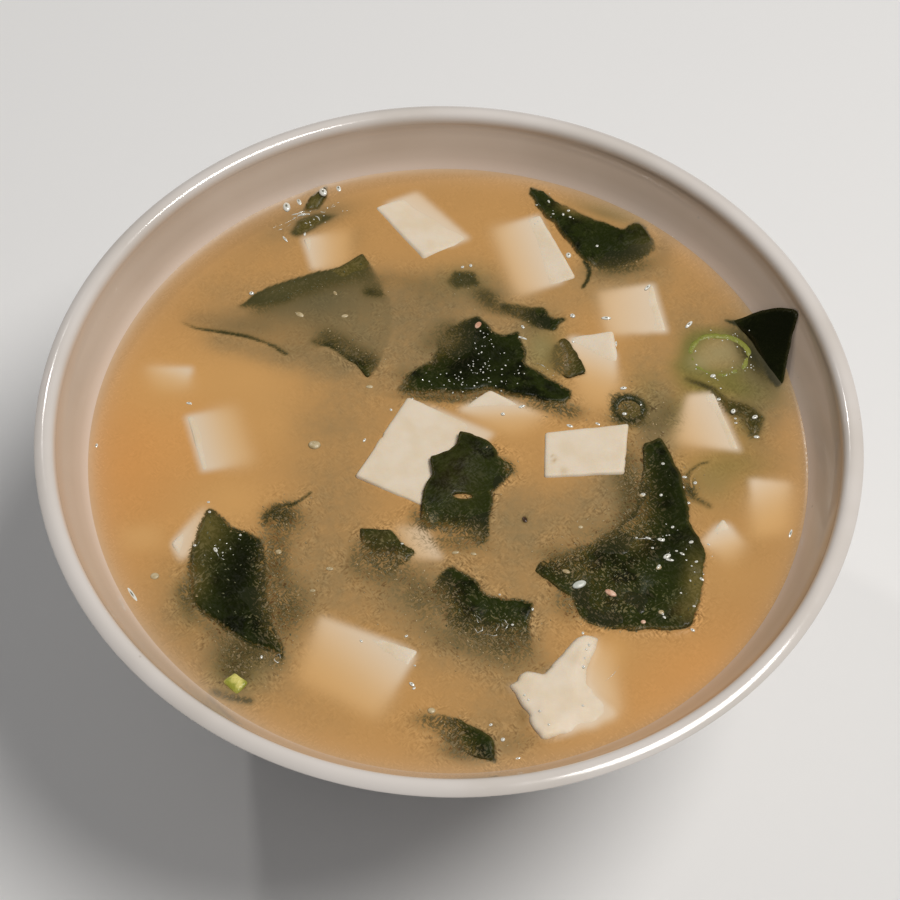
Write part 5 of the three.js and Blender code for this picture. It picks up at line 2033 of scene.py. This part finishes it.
    def build_leaf(self, leaf: Leaf, material: Material) -> None:
        """Make one leaf: two wavy skins and the edge between them.

        Args:
            leaf: The leaf.
            material: The finish of the leaves.
        """
        soup = self.soup
        outline = soup.edges[leaf.name]
        holes = leaf.hole_outlines()
        flat, faces = triangulate(outline, holes, self.leaf_cell, 11)
        x, y = flat[:, 0], flat[:, 1]
        edge = away_from(outline, x, y)
        for hole in holes:
            edge = np.minimum(edge, away_from(hole, x, y))
        seen = leaf.seen(x, y, edge)
        z = sunk_where_veiled(leaf_height(leaf, soup.blocks, x, y), seen)
        thin = 0.35 + 0.65 * np.clip(edge / 0.7, 0, 1)
        upper = np.c_[x, y, z + soup.level]
        lower = np.c_[x, y, z + soup.level - LEAF_THICKNESS * thin]
        count = len(upper)
        closed = [tuple(f) for f in faces] + [(c + count, b + count, a + count) for a, b, c in faces]
        closed += [(b, a, a + count, b + count) for a, b in boundary_of(faces)]
        piece = make_object(f"{leaf.name}_leaf", np.vstack([upper, lower]), closed)
        own = {
            "leaf_seen": seen, "film": gathered(leaf.films, x, y), "olive": gathered(leaf.olive, x, y),
            "dark": gathered(leaf.dark, x, y), "from_edge": edge, "pale_edge": np.full(count, leaf.pale_edge),
        }
        both_skins = {name: np.tile(values, 2) for name, values in own.items()}
        soup.mark(piece, np.tile(x, 2), np.tile(y, 2), **both_skins)
        dress(piece, material, leaf.name)

    def build_leaves(self) -> None:
        """Make every leaf."""
        material = self.wakame_finish.material()
        for leaf in WAKAME:
            self.build_leaf(leaf, material)

    def build_ring(self, ring: Ring, around: int = 96, across: int = 20) -> None:
        """Make one slice of scallion as a soft-edged, bumpy ring.

        Args:
            ring: The slice.
            around: How many sections it has.
            across: How many points each section has.
        """
        turn = np.linspace(0, 2 * math.pi, around, endpoint=False)
        section = np.linspace(0, 2 * math.pi, across, endpoint=False)
        half_wall, half_height = ring.wall / 2, ring.height / 2
        out = half_wall * np.sign(np.cos(section)) * np.abs(np.cos(section)) ** self.ring_squareness
        up = half_height * np.sign(np.sin(section)) * np.abs(np.sin(section)) ** self.ring_squareness
        wobble = 1 + 0.025 * np.sin(3 * turn + 1) + 0.015 * np.sin(7 * turn)
        rx = np.outer(wobble, np.full(across, ring.outer[0] - half_wall)) + out
        ry = np.outer(wobble, np.full(across, ring.outer[1] - half_wall)) + out
        rz = np.tile(up - half_height, (around, 1))
        every = np.stack([rx * np.cos(turn)[:, None], ry * np.sin(turn)[:, None], rz], axis=-1).reshape(-1, 3)
        every[:, 2] += 0.1 * ripple(every[:, 0], every[:, 1], 0.8, 2.0)
        about_x, about_y = (math.radians(angle) for angle in ring.tilt)
        tilt = Matrix.Rotation(about_y, 3, "Y") @ Matrix.Rotation(about_x, 3, "X")
        every = every @ np.array(tilt).T + np.array(ring.centre) + np.array([0, 0, self.soup.level])
        faces = []
        for i in range(around):
            for j in range(across):
                k, m = (i + 1) % around, (j + 1) % across
                faces.append((i * across + j, k * across + j, k * across + m, i * across + m))
        piece = make_object(f"{ring.name}_ring", every, faces)
        height = every[:, 2] - self.soup.level
        seen = ring.shown * smoothstep(-0.5, 0.12, height)
        within = np.tile((1 - np.cos(section)) / 2, around)
        self.soup.mark(piece, every[:, 0], every[:, 1], leaf_seen=seen, within=within)
        finish = ScallionFinish(ring.outside, ring.within)
        dress(piece, finish.material(ring.name), ring.name)

    def build_chip(self) -> None:
        """Make the small bright square of scallion leaf."""
        points, faces = self.block_mesh(CHIP)
        piece = make_object(f"{CHIP.name}_square", points, faces)
        x, y = points[:, 0], points[:, 1]
        within = np.clip(0.45 + 0.7 * ripple(x, y, 0.8, 2.0), 0, 1)
        self.soup.mark(piece, x, y, leaf_seen=np.ones(len(x)), within=within)
        dress(piece, CHIP_FINISH.material(CHIP.name), CHIP.name)

    def build(self) -> None:
        """Make the tofu, the leaves and the scallion."""
        self.build_tofu()
        self.build_leaves()
        for ring in SCALLION:
            self.build_ring(ring)
        self.build_chip()


# ------------------------------------------------------------------ foam, grains and crumbs

# Single bubbles and glints on the menisci, painted as highlights: middle, half sizes and turn in degrees.
BUBBLES = (
    (-25.8, 45.2, 1.1, 0.7, 100), (-23.9, 46.4, 1, 0.45, 115), (-20, 47.6, 0.9, 0.7, 110),
    (-17.6, 49.2, 0.85, 0.5, 110), (-15.1, 50.7, 0.3, 0.2, 0), (-10.2, 51.8, 0.7, 0.22, 80),
    (12.8, 51.5, 0.7, 0.22, 75), (-33.2, 40.1, 0.7, 0.22, 150), (-41.5, 32.5, 0.9, 0.32, 135),
    (-30.6, 27.8, 0.42, 0.38, 0), (-25.8, 38.7, 0.75, 0.22, 125), (-22.7, 39.7, 0.4, 0.22, 80),
    (-21.7, 48.2, 0.3, 0.18, 0), (2.3, 33.4, 0.32, 0.24, 30), (3.6, 33.7, 0.34, 0.28, 90),
    (19.1, 35.9, 0.62, 0.5, 90), (19.3, 24, 0.48, 0.4, 140), (24.5, 23.6, 0.85, 0.35, 0),
    (31.3, 29.7, 0.8, 0.3, 50), (37.3, 22.5, 0.95, 0.34, 50), (43.8, 30.6, 0.75, 0.2, 50),
    (11.5, 21.8, 0.4, 0.25, 120), (11.3, 19.7, 0.95, 0.22, 160), (-39, 7, 0.5, 0.25, 170),
    (-52.2, -0.8, 0.6, 0.35, 80), (-8.7, 6.1, 0.28, 0.22, 120), (-12.6, 0.6, 0.4, 0.2, 60),
    (8.1, 5.5, 0.34, 0.32, 0), (11, 6.9, 0.6, 0.26, 20), (18.1, 3.4, 0.62, 0.3, 155),
    (22.3, 3.8, 0.5, 0.26, 150), (26.5, 10.4, 0.6, 0.3, 8), (26.4, 5.7, 0.4, 0.3, 0),
    (29, 7.4, 0.3, 0.2, 60), (40.3, 12.8, 0.5, 0.35, 20), (42.8, 6.1, 0.5, 0.38, 60),
    (46, 5.1, 0.55, 0.36, 30), (46, 1.7, 0.5, 0.28, 0), (43.1, 5, 0.24, 0.2, 0), (43.1, 4.2, 0.3, 0.16, 0),
    (40.9, 8.5, 0.5, 0.28, 20), (52.6, 2, 0.35, 0.65, 0), (49.5, -15.1, 1.15, 0.3, 68),
    (-45, -25.8, 1.9, 0.36, 125), (-5.4, -39.7, 0.5, 0.28, 140), (-5.1, -40.3, 0.3, 0.2, 40),
    (-6.2, -32.2, 0.3, 0.2, 30), (-12.5, -33, 0.3, 0.2, 130), (-5, -36.8, 0.2, 0.15, 0),
    (5.4, -45.8, 0.3, 0.22, 30), (7, -48, 0.36, 0.3, 30), (9, -50.8, 0.55, 0.22, 15),
    (34.7, -5.5, 0.42, 0.24, 0), (34.9, -10, 0.42, 0.26, 0), (36.2, -6.5, 0.34, 0.28, 30),
    (34.3, -7.4, 0.3, 0.2, 0), (25.8, 18.7, 0.22, 0.7, 0), (19.2, 19, 0.28, 0.22, 0),
    (18.6, -31.6, 0.28, 0.22, 90), (19.3, -33.7, 0.2, 0.26, 0), (18.9, -34.4, 0.18, 0.2, 0),
    (18.6, -35.8, 0.14, 0.2, 0), (18.4, -37.1, 0.28, 0.24, 60), (10.1, -41.6, 0.2, 0.2, 0),
    (10.6, -42.3, 0.2, 0.18, 0), (12.1, -44, 0.2, 0.2, 0), (13.3, -46, 0.2, 0.18, 0),
    (18.1, -43, 0.22, 0.2, 0), (34.1, -31, 0.4, 0.25, 150), (35.9, -23.1, 0.42, 0.24, 140),
    (35.3, -20.3, 0.3, 0.2, 20), (36.3, -22, 0.22, 0.18, 0), (28.7, -16.1, 0.5, 0.2, 160),
    (30.5, -16.5, 0.6, 0.3, 165), (32.3, -14.4, 0.3, 0.22, 30), (34.8, -17, 0.4, 0.26, 20),
    (31.2, -19.2, 0.7, 0.4, 30), (31.6, -19.8, 0.7, 0.22, 170), (33.4, -18.9, 0.45, 0.2, 150),
    (27, -16, 0.22, 0.16, 0), (29.9, -20.9, 0.5, 0.26, 60), (30.2, -29.1, 0.3, 0.2, 140),
    (29.2, -17.8, 0.24, 0.18, 0), (37.4, -17, 0.3, 0.16, 150), (34.5, -27.4, 0.26, 0.2, 0),
    (32.6, -18.4, 0.24, 0.16, 0), (-33.6, -18.6, 0.5, 0.3, 120), (-36.6, -17.9, 0.26, 0.22, 0),
    (-34.8, -12.3, 0.24, 0.22, 0), (-30.2, -16, 0.22, 0.18, 0), (-35.1, -10.4, 0.26, 0.2, 0),
    (-6.9, -17.3, 0.26, 0.18, 0), (7, -25.5, 0.2, 0.2, 0), (8.7, -30.4, 0.22, 0.2, 0),
    (11.6, -27.9, 0.2, 0.26, 0), (16.3, 46.6, 0.2, 0.36, 20), (18.5, 43.7, 0.22, 0.3, 0),
    (16.9, 43.8, 0.24, 0.16, 0), (19.4, 44.6, 0.3, 0.24, 30), (23.7, 37.7, 0.28, 0.24, 30),
    (19.6, 43.2, 0.24, 0.2, 0), (-26.3, -35.6, 0.2, 0.3, 0), (30, -28.6, 0.22, 0.18, 0),
    (28.4, -8.6, 0.4, 0.3, 0), (31, -8.8, 0.3, 0.24, 40), (31.6, -3.4, 0.3, 0.24, 0),
)

# Thin bright lines of film and wet edges, painted highlights: their points and their half width.
FILM_GLINTS = (
    (((-28.2, 40.4), (-27.4, 41.2), (-26.2, 41.7), (-25.2, 42.4), (-24, 43.2)), 0.07),
    (((-27.8, 39.8), (-27, 40.5), (-25.8, 41), (-25, 41.8)), 0.05),
    (((-24.6, 42.9), (-23.8, 43.5), (-22.8, 43.8), (-21.8, 43.8)), 0.24),
    (((-25, 43.6), (-24, 43.9), (-23, 44.4)), 0.12), (((-22, 43.8), (-20.8, 44.4), (-19.6, 44.2)), 0.1),
    (((-24.6, 44.3), (-23.9, 44), (-23.2, 44.4), (-22.4, 44.2)), 0.08),
    (((-18.6, 45.6), (-17.8, 46.2), (-17, 46.4), (-16.4, 46.9)), 0.07),
    (((-19.4, 45.2), (-18.4, 45.4), (-17.6, 45.8)), 0.05),
    (((-21.2, 43.4), (-20.6, 43), (-20.4, 42.4)), 0.09),
    (
        (
            (3.4, -28.7), (3, -29.6), (3.2, -30.6), (3.8, -31.6), (4.5, -31.2), (4.5, -30.2), (4.2, -29.4),
            (3.6, -28.9),
        ),
        0.07,
    ),
    (((3.7, -29.2), (3.9, -30.2), (4.2, -30.8)), 0.06),
    (
        ((6.8, -29.7), (7.6, -29.6), (8.1, -30.4), (7.6, -31.3), (6.9, -31.7), (6.4, -31.2), (6.9, -30.4)),
        0.08,
    ),
    (((7.2, -30.2), (7.5, -30.8), (7, -31.2)), 0.06),
    (((4.4, -31.9), (5.2, -31.8), (6, -32.1), (6.8, -31.9)), 0.06),
    (((-24.5, -35.4), (-23.8, -35.3), (-23.6, -36), (-24, -36.5), (-24.5, -36.1), (-24.5, -35.4)), 0.08),
    (((23.2, -47.3), (25.8, -45.8), (28.6, -44), (31, -42.2)), 0.06),
    (((34.8, -39.2), (36.2, -38), (37.4, -36.8)), 0.06),
    (((39.2, -34.8), (40.8, -33), (42.1, -31.2)), 0.07),
    (((42.9, -30.3), (44.2, -28.6), (45.1, -27)), 0.06), (((13.4, 15), (14.4, 14.5), (15.2, 13.7)), 0.07),
    (((-33.6, -18.6), (-33, -19.8), (-32.2, -20.2)), 0.05),
    (((36.6, -21.6), (36.3, -23.4), (36, -24.8)), 0.05),
    (((26.2, -15.9), (27.2, -16.2), (28.4, -16.1), (29.6, -16.6)), 0.06),
    (((21.4, -39), (22.6, -38), (23.4, -36.8)), 0.03),
)

# Crumbs: middle, half sizes, turn and kind.
CRUMBS = (
    (18.4, -23.8, 1.15, 0.62, 25, "white"), (22.8, -25.2, 0.95, 0.5, 150, "pink"),
    (27.2, -29.8, 0.4, 0.35, 0, "pink"), (29.9, -21, 0.5, 0.35, 30, "pale"),
    (29.8, -28.3, 0.45, 0.38, 0, "pale"), (16.6, -21.8, 0.65, 0.36, 160, "pale"),
    (19, -14.2, 0.4, 0.3, 0, "pale"), (4.6, 22, 0.75, 0.5, 60, "pink"), (-20, -0.3, 1, 0.8, 0, "pale"),
    (-42, -22.8, 0.7, 0.6, 0, "pale"), (-24.6, -18.7, 0.5, 0.45, 0, "pale"),
    (-2.7, -43.7, 0.6, 0.5, 0, "pale"), (-12, 10.3, 0.6, 0.35, 0, "pale"),
    (-23, 23.8, 0.8, 0.45, 150, "pale"), (10.9, -13, 0.4, 0.6, 20, "brown"),
    (-17.6, 28, 0.3, 0.5, 30, "pale"), (-16, 23.6, 0.6, 0.35, 10, "pale"),
    (28.3, -8.7, 0.5, 0.35, 0, "pale"), (-19.5, -25, 0.5, 0.3, 10, "pale"),
    (-17.2, -21.4, 0.6, 0.35, 0, "pale"), (0.8, -18.6, 0.6, 0.3, 10, "pale"),
    (3.4, -18.8, 0.5, 0.25, 170, "pale"),
)
CRUMB_TONES = {
    "white": ((208, 210, 200), (184, 190, 178)), "pink": ((224, 186, 160), (196, 142, 112)),
    "pale": ((196, 178, 140), (168, 148, 106)), "brown": ((96, 66, 40), (58, 40, 22)),
}


@dataclass(frozen=True)
class Scatter:
    """Small domes that Geometry Nodes strew over a skin, thickly where its chance is high."""

    name: str
    chance: str
    per_square_mm: float
    least: float
    most: float
    flatness: float
    stretch: float
    rounds: int
    seed: int

    def tree(self, material: Material) -> bpy.types.NodeTree:
        """Build the node tree, with an input for each size.

        Args:
            material: What the domes are made of.

        Returns:
            The tree.
        """
        tree = bpy.data.node_groups.new(self.name, "GeometryNodeTree")
        face = tree.interface
        face.new_socket("Geometry", in_out="INPUT", socket_type="NodeSocketGeometry")
        for name in ("Per Square Metre", "Least Radius", "Most Radius"):
            face.new_socket(name, in_out="INPUT", socket_type="NodeSocketFloat")
        face.new_socket("Seed", in_out="INPUT", socket_type="NodeSocketInt")
        face.new_socket("Geometry", in_out="OUTPUT", socket_type="NodeSocketGeometry")

        def add(kind: str, **settings: object) -> bpy.types.Node:
            """Add a node.

            Args:
                kind: Its type in Blender.
                settings: Its choices.

            Returns:
                The node.
            """
            node = tree.nodes.new(kind)
            for key, value in settings.items():
                setattr(node, key, value)
            return node

        def give(value: Socket | float, socket: Socket) -> None:
            """Link a socket to another, or set its value.

            Args:
                value: A socket or a number.
                socket: What takes it.
            """
            if isinstance(value, Socket):
                tree.links.new(value, socket)
            else:
                socket.default_value = value

        def arithmetic(operation: str, first: Socket | float, second: Socket | float) -> Socket:
            """Add one step of arithmetic.

            Args:
                operation: Its name in Blender.
                first: The first value.
                second: The second value.

            Returns:
                The result.
            """
            node = add("ShaderNodeMath", operation=operation)
            give(first, node.inputs[0])
            give(second, node.inputs[1])
            return node.outputs[0]

        def between(low: Socket | float, high: Socket | float, seed_shift: float) -> Socket:
            """Add a random value between two limits.

            Args:
                low: The least value.
                high: The greatest value.
                seed_shift: What is added to the seed, to set this value apart from the others.

            Returns:
                The value.
            """
            node = add("FunctionNodeRandomValue", data_type="FLOAT")
            for value, name in ((low, "Min"), (high, "Max")):
                give(value, next(s for s in node.inputs if s.name == name and s.type == "VALUE"))
            give(arithmetic("ADD", given.outputs["Seed"], seed_shift), node.inputs["Seed"])
            return next(s for s in node.outputs if s.type == "VALUE")

        given = add("NodeGroupInput")
        chance = add("GeometryNodeInputNamedAttribute", data_type="FLOAT")
        chance.inputs["Name"].default_value = self.chance
        points = add("GeometryNodeDistributePointsOnFaces", distribute_method="RANDOM")
        tree.links.new(given.outputs["Geometry"], points.inputs["Mesh"])
        density = arithmetic("MULTIPLY", chance.outputs["Attribute"], given.outputs["Per Square Metre"])
        tree.links.new(density, points.inputs["Density"])
        tree.links.new(given.outputs["Seed"], points.inputs["Seed"])
        ball = add("GeometryNodeMeshIcoSphere")
        ball.inputs["Radius"].default_value = 1.0
        ball.inputs["Subdivisions"].default_value = self.rounds
        place = add("GeometryNodeInputPosition")
        flat = add("ShaderNodeVectorMath", operation="MULTIPLY")
        flat.inputs[1].default_value = (1.0, 1.0, 0.0)
        tree.links.new(place.outputs[0], flat.inputs[0])
        out = add("ShaderNodeVectorMath", operation="LENGTH")
        tree.links.new(flat.outputs[0], out.inputs[0])
        store = add("GeometryNodeStoreNamedAttribute", data_type="FLOAT", domain="POINT")
        store.inputs["Name"].default_value = "out"
        tree.links.new(ball.outputs["Mesh"], store.inputs["Geometry"])
        tree.links.new(out.outputs["Value"], store.inputs["Value"])
        put = add("GeometryNodeInstanceOnPoints")
        tree.links.new(points.outputs["Points"], put.inputs["Points"])
        tree.links.new(store.outputs["Geometry"], put.inputs["Instance"])
        turn = add("ShaderNodeCombineXYZ")
        tree.links.new(between(0.0, 2 * math.pi, 1.0), turn.inputs["Z"])
        tree.links.new(turn.outputs[0], put.inputs["Rotation"])
        size = between(given.outputs["Least Radius"], given.outputs["Most Radius"], 2.0)
        scale = add("ShaderNodeCombineXYZ")
        tree.links.new(arithmetic("MULTIPLY", size, between(1.0, self.stretch, 3.0)), scale.inputs["X"])
        tree.links.new(size, scale.inputs["Y"])
        tree.links.new(arithmetic("MULTIPLY", size, self.flatness), scale.inputs["Z"])
        tree.links.new(scale.outputs[0], put.inputs["Scale"])
        real = add("GeometryNodeRealizeInstances")
        tree.links.new(put.outputs["Instances"], real.inputs["Geometry"])
        smooth = add("GeometryNodeSetShadeSmooth")
        tree.links.new(real.outputs["Geometry"], smooth.inputs["Geometry"])
        finish = add("GeometryNodeSetMaterial")
        finish.inputs["Material"].default_value = material
        tree.links.new(smooth.outputs["Geometry"], finish.inputs["Geometry"])
        result = add("NodeGroupOutput")
        tree.links.new(finish.outputs["Geometry"], result.inputs["Geometry"])
        return tree

    def strew(self, skin: Piece, material: Material) -> Piece:
        """Strew the domes over a skin and keep them as a plain mesh.

        Args:
            skin: The skin, with the chance as an attribute.
            material: What the domes are made of.

        Returns:
            The domes as one piece.
        """
        tree = self.tree(material)
        modifier = skin.modifiers.new(self.name, "NODES")
        modifier.node_group = tree
        values = {
            "Per Square Metre": self.per_square_mm / MM**2, "Seed": self.seed,
            "Least Radius": self.least * MM, "Most Radius": self.most * MM,
        }
        for item in tree.interface.items_tree:
            if item.in_out == "INPUT" and item.name in values:
                modifier[item.identifier] = values[item.name]
        depsgraph = bpy.context.evaluated_depsgraph_get()
        mesh = bpy.data.meshes.new_from_object(skin.evaluated_get(depsgraph))
        skin.modifiers.remove(modifier)
        mesh.name = self.name
        piece = bpy.data.objects.new(self.name, mesh)
        bpy.context.scene.collection.objects.link(piece)
        log.info("%s: %d faces", piece.name, len(mesh.polygons))
        return dress(piece, None)


FOAM_BUBBLES = Scatter(
    "foam", "foam_chance", per_square_mm=2.0, least=0.05, most=0.13, flatness=0.6, stretch=1.6, rounds=2,
    seed=11,
)
MISO_GRAINS = Scatter(
    "miso_grains", "grain_chance", per_square_mm=0.9, least=0.05, most=0.12, flatness=0.4, stretch=2.6,
    rounds=1, seed=23,
)
LEAF_GRAINS = Scatter(
    "leaf_grains", "leaf_grain_chance", per_square_mm=1.5, least=0.05, most=0.14, flatness=0.35, stretch=2.4,
    rounds=1, seed=31,
)


@dataclass
class Surface:
    """What lies on the surface: bubbles, films, crumbs, foam and grains."""

    soup: Soup
    around: int = 14
    thread_sides: int = 6

    def ground(self, x: Array, y: Array) -> Array:
        """The height of whatever is uppermost."""
        return self.soup.chart.read(self.soup.top, x, y) + self.soup.level

    def dome(self, x: float, y: float, across: float, away: float, turn: float,
             tall: float) -> tuple[Array, Faces, Array]:
        """A flat dome: its points, its faces, and how far out each point is.

        Args:
            x: Its middle, across.
            y: Its middle, away.
            across: Half its length.
            away: Half its width.
            turn: Its turn in degrees.
            tall: Its height.

        Returns:
            The points, the faces and the shares.
        """
        turned = np.array(Matrix.Rotation(math.radians(turn), 2))
        z = float(self.ground(np.array([x]), np.array([y]))[0])
        shares = (0.35, 0.62, 0.84, 1.0)
        steps = 2 * math.pi * np.arange(self.around) / self.around
        points, out = [(x, y, z + tall)], [0.0]
        for share in shares:
            oval = np.c_[share * across * np.cos(steps), share * away * np.sin(steps)] @ turned.T
            height = z - 0.05 + (tall + 0.05) * math.sqrt(1 - share**2)
            points += [(x + u, y + v, height) for u, v in oval]
            out += [share] * self.around
        n = self.around
        faces: Faces = [(0, 1 + i, 1 + (i + 1) % n) for i in range(n)]
        for ring in range(len(shares) - 1):
            first, second = 1 + ring * n, 1 + (ring + 1) * n
            faces += [(first + i, second + i, second + (i + 1) % n, first + (i + 1) % n) for i in range(n)]
        last = 1 + (len(shares) - 1) * n
        faces.append(tuple(last + i for i in reversed(range(n))))
        return np.array(points), faces, np.array(out)

    def thread(self, line: Sequence[Place], half: float) -> tuple[Array, Faces, Array]:
        """A thin tube that lies along some points: its points, faces and shares.

        Args:
            line: The points it runs through.
            half: Half its width.

        Returns:
            The points, the faces and the shares.
        """
        corners = np.array(line, dtype=float)
        walked = np.concatenate([[0], np.cumsum(np.hypot(*np.diff(corners, axis=0).T))])
        at = np.linspace(0, walked[-1], max(8, int(walked[-1] / 0.12)))
        x, y = np.interp(at, walked, corners[:, 0]), np.interp(at, walked, corners[:, 1])
        along = np.gradient(np.c_[x, y], axis=0)
        side = np.c_[along[:, 1], -along[:, 0]] / np.maximum(np.hypot(*along.T), 1e-9)[:, None]
        ends = 0.25 + 0.75 * np.sin(math.pi * np.linspace(0.04, 0.96, len(at)))
        thick = half * ends * np.clip(0.6 + 1.1 * ripple(x, y, 0.5, 6.0), 0.08, 1.3)
        n = self.thread_sides
        turns = 2 * math.pi * np.arange(n) / n
        z = self.ground(x, y)
        points, faces = [], []
        for i in range(len(at)):
            for a in turns:
                reach, up = thick[i] * math.cos(a), thick[i] * (0.2 + 0.7 * math.sin(a))
                points.append((x[i] + side[i, 0] * reach, y[i] + side[i, 1] * reach, z[i] + up))
        for i in range(len(at) - 1):
            for j in range(n):
                k = (j + 1) % n
                faces.append((i * n + j, i * n + k, (i + 1) * n + k, (i + 1) * n + j))
        faces.append(tuple(reversed(range(n))))
        last = (len(at) - 1) * n
        faces.append(tuple(last + j for j in range(n)))
        return np.array(points), faces, np.full(len(points), 0.3)

    def join(self, name: str, parts: list, material: Material) -> None:
        """Join parts into one piece and dress it.

        Args:
            name: The piece's name.
            parts: The parts, each with its points, its faces and its shares.
            material: What they are made of.
        """
        points, faces, out, start = [], [], [], 0
        for p, f, o in parts:
            points.append(p)
            faces += [tuple(i + start for i in face) for face in f]
            out.append(o)
            start += len(p)
        piece = make_object(name, np.vstack(points), faces)
        put_attribute(piece, "out", np.concatenate(out))
        dress(piece, material)

    def skin(self, pitch: float = 0.7, reach: float = 52.6) -> Piece:
        """A thin skin over everything, to strew things on.

        Args:
            pitch: The spacing of its points.
            reach: How far out it goes.

        Returns:
            The skin.
        """
        soup = self.soup
        line = np.arange(-reach, reach, pitch)
        gx, gy = np.meshgrid(line, line)
        x, y, n = gx.ravel(), gy.ravel(), len(line)
        corner = (np.arange(n - 1)[:, None] * n + np.arange(n - 1)[None, :]).ravel()
        quads = np.c_[corner, corner + 1, corner + n + 1, corner + n]
        quads = quads[(np.hypot(x, y)[quads] < reach).all(axis=1)]
        skin = make_object("skin", np.c_[x, y, self.ground(x, y)], quads)
        leaf = soup.chart.read(soup.maps["leaf_seen"], x, y)
        tofu = soup.chart.read(soup.tofu_here.astype(float), x, y)
        put_attribute(skin, "foam_chance", gathered(FOAM, x, y))
        grains = np.clip(soup.chart.read(soup.maps["grain"], x, y) - 0.15, 0, 1)
        grains *= (1 - smoothstep(0.2, 0.7, tofu)) * (1 - smoothstep(0.4, 0.8, leaf))
        put_attribute(skin, "grain_chance", grains)
        on_leaf = gathered(PALE_GRAINS, x, y) * smoothstep(0.3, 0.7, leaf) * (tofu < 0.8)
        put_attribute(skin, "leaf_grain_chance", on_leaf)
        return skin

    def build(self) -> None:
        """Make everything that lies on the surface."""
        foam = FoamGlintFinish().material()
        # The bubbles, film lines and strewn foam wear the foam finish's painted highlight.
        self.join("bubbles", [self.dome(*b, tall=0.7 * min(b[2], b[3])) for b in BUBBLES], foam)
        self.join("films", [self.thread(*film) for film in FILM_GLINTS], foam)
        for tone, (light, dark) in CRUMB_TONES.items():
            domes = [self.dome(*c[:5], tall=0.4 * min(c[2], c[3])) for c in CRUMBS if c[5] == tone]
            self.join(f"crumbs_{tone}", domes, speck_material(f"crumbs_{tone}", light, dark))
        skin = self.skin()
        FOAM_BUBBLES.strew(skin, foam)
        MISO_GRAINS.strew(skin, speck_material("miso_grain", (184, 162, 120), (146, 124, 84)))
        LEAF_GRAINS.strew(skin, speck_material("leaf_grain", (104, 104, 74), (70, 74, 46)))
        bpy.data.objects.remove(skin)


# ------------------------------------------------------------------ floor, light and camera


@dataclass
class Studio:
    """A pale floor, soft light from overhead and the camera above the near side."""

    distance: float = 300.0
    elevation: float = 55.7824
    azimuth: float = -2.3522
    look_at: Place = (-0.122, -6.625)
    roll: float = 2.4374
    focal_pixels: float = 2066.46
    picture_pixels: float = 900.0
    sensor: float = 36.0
    floor_reach: float = 900.0
    floor_tone: tuple[float, ...] = (0.86, 0.855, 0.85, 1.0)
    sky_tone: tuple[float, ...] = (0.95, 0.97, 1.0, 1.0)
    sky_strength: float = 0.18

    def light(self, name: str, place: Corner, size: float, watts: float, colour: Corner) -> None:
        """Hang a round area light that faces the bowl.

        Args:
            name: The light's name.
            place: Where it hangs, in metres.
            size: Its width, in metres.
            watts: Its power.
            colour: Its colour, linear.
        """
        data = bpy.data.lights.new(name, "AREA")
        data.shape = "DISK"
        data.size = size
        data.energy = watts
        data.color = colour
        lamp = bpy.data.objects.new(name, data)
        lamp.location = place
        lamp.rotation_mode = "QUATERNION"
        lamp.rotation_quaternion = (Vector((0, 0, 0.05)) - Vector(place)).to_track_quat("-Z", "Y")
        bpy.context.scene.collection.objects.link(lamp)

    def build(self, rim_height: float) -> None:
        """Lay the floor, hang the lights and place the camera.

        Args:
            rim_height: The height of the bowl's rim.
        """
        corners = np.array([(-1, -1, 0), (1, -1, 0), (1, 1, 0), (-1, 1, 0)]) * self.floor_reach
        floor = make_object("floor", corners, [(0, 1, 2, 3)])
        floor.data.materials.append(Sheet("floor").finish(self.floor_tone, roughness=0.7, specular=0.2))
        world = bpy.data.worlds.new("studio")
        world.use_nodes = True
        background = world.node_tree.nodes["Background"]
        background.inputs["Color"].default_value = self.sky_tone
        background.inputs["Strength"].default_value = self.sky_strength
        bpy.context.scene.world = world
        self.light("overhead", (0.34, -0.02, 0.80), size=0.40, watts=5.2, colour=(1.0, 0.975, 0.94))
        self.light("lamp", (-0.42, 0.55, 0.75), size=0.05, watts=0.9, colour=(1.0, 0.98, 0.95))
        bpy.context.scene.view_settings.view_transform = "Standard"
        self.camera(rim_height)

    def camera(self, rim_height: float) -> None:
        """Place the camera at its distance and angle from a point on the plane of the rim.

        Args:
            rim_height: The height of the bowl's rim.
        """
        elevation, azimuth, roll = (math.radians(a) for a in (self.elevation, self.azimuth, self.roll))
        flat = self.distance * math.cos(elevation)
        up_high = self.distance * math.sin(elevation)
        eye = Vector((flat * math.sin(azimuth), -flat * math.cos(azimuth), up_high))
        forward = (Vector((*self.look_at, 0.0)) - eye).normalized()
        level = forward.cross(Vector((0, 0, 1))).normalized()
        upright = level.cross(forward)
        right = level * math.cos(roll) + upright * math.sin(roll)
        up = upright * math.cos(roll) - level * math.sin(roll)
        data = bpy.data.cameras.new("camera")
        data.sensor_width = self.sensor
        data.lens = self.focal_pixels / self.picture_pixels * self.sensor
        data.clip_start = 0.01
        camera = bpy.data.objects.new("camera", data)
        place = (eye + Vector((0, 0, rim_height))) * MM
        turned = Matrix((right, up, -forward)).transposed().to_4x4()
        camera.matrix_world = Matrix.Translation(place) @ turned
        bpy.context.scene.collection.objects.link(camera)
        bpy.context.scene.camera = camera


# ------------------------------------------------------------------ the whole


def main() -> None:
    """Build every piece round the frame."""
    logging.basicConfig(level=logging.INFO, format="%(name)s: %(message)s")
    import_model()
    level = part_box("broth")[1].z / MM
    rim_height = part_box("bowl")[1].z / MM
    bowl = Bowl()
    bowl.build()
    soup = Soup(level)
    Broth(bowl, soup).build()
    Toppings(soup).build()
    Surface(soup).build()
    Studio().build(rim_height)


if __name__ == "__main__":
    main()
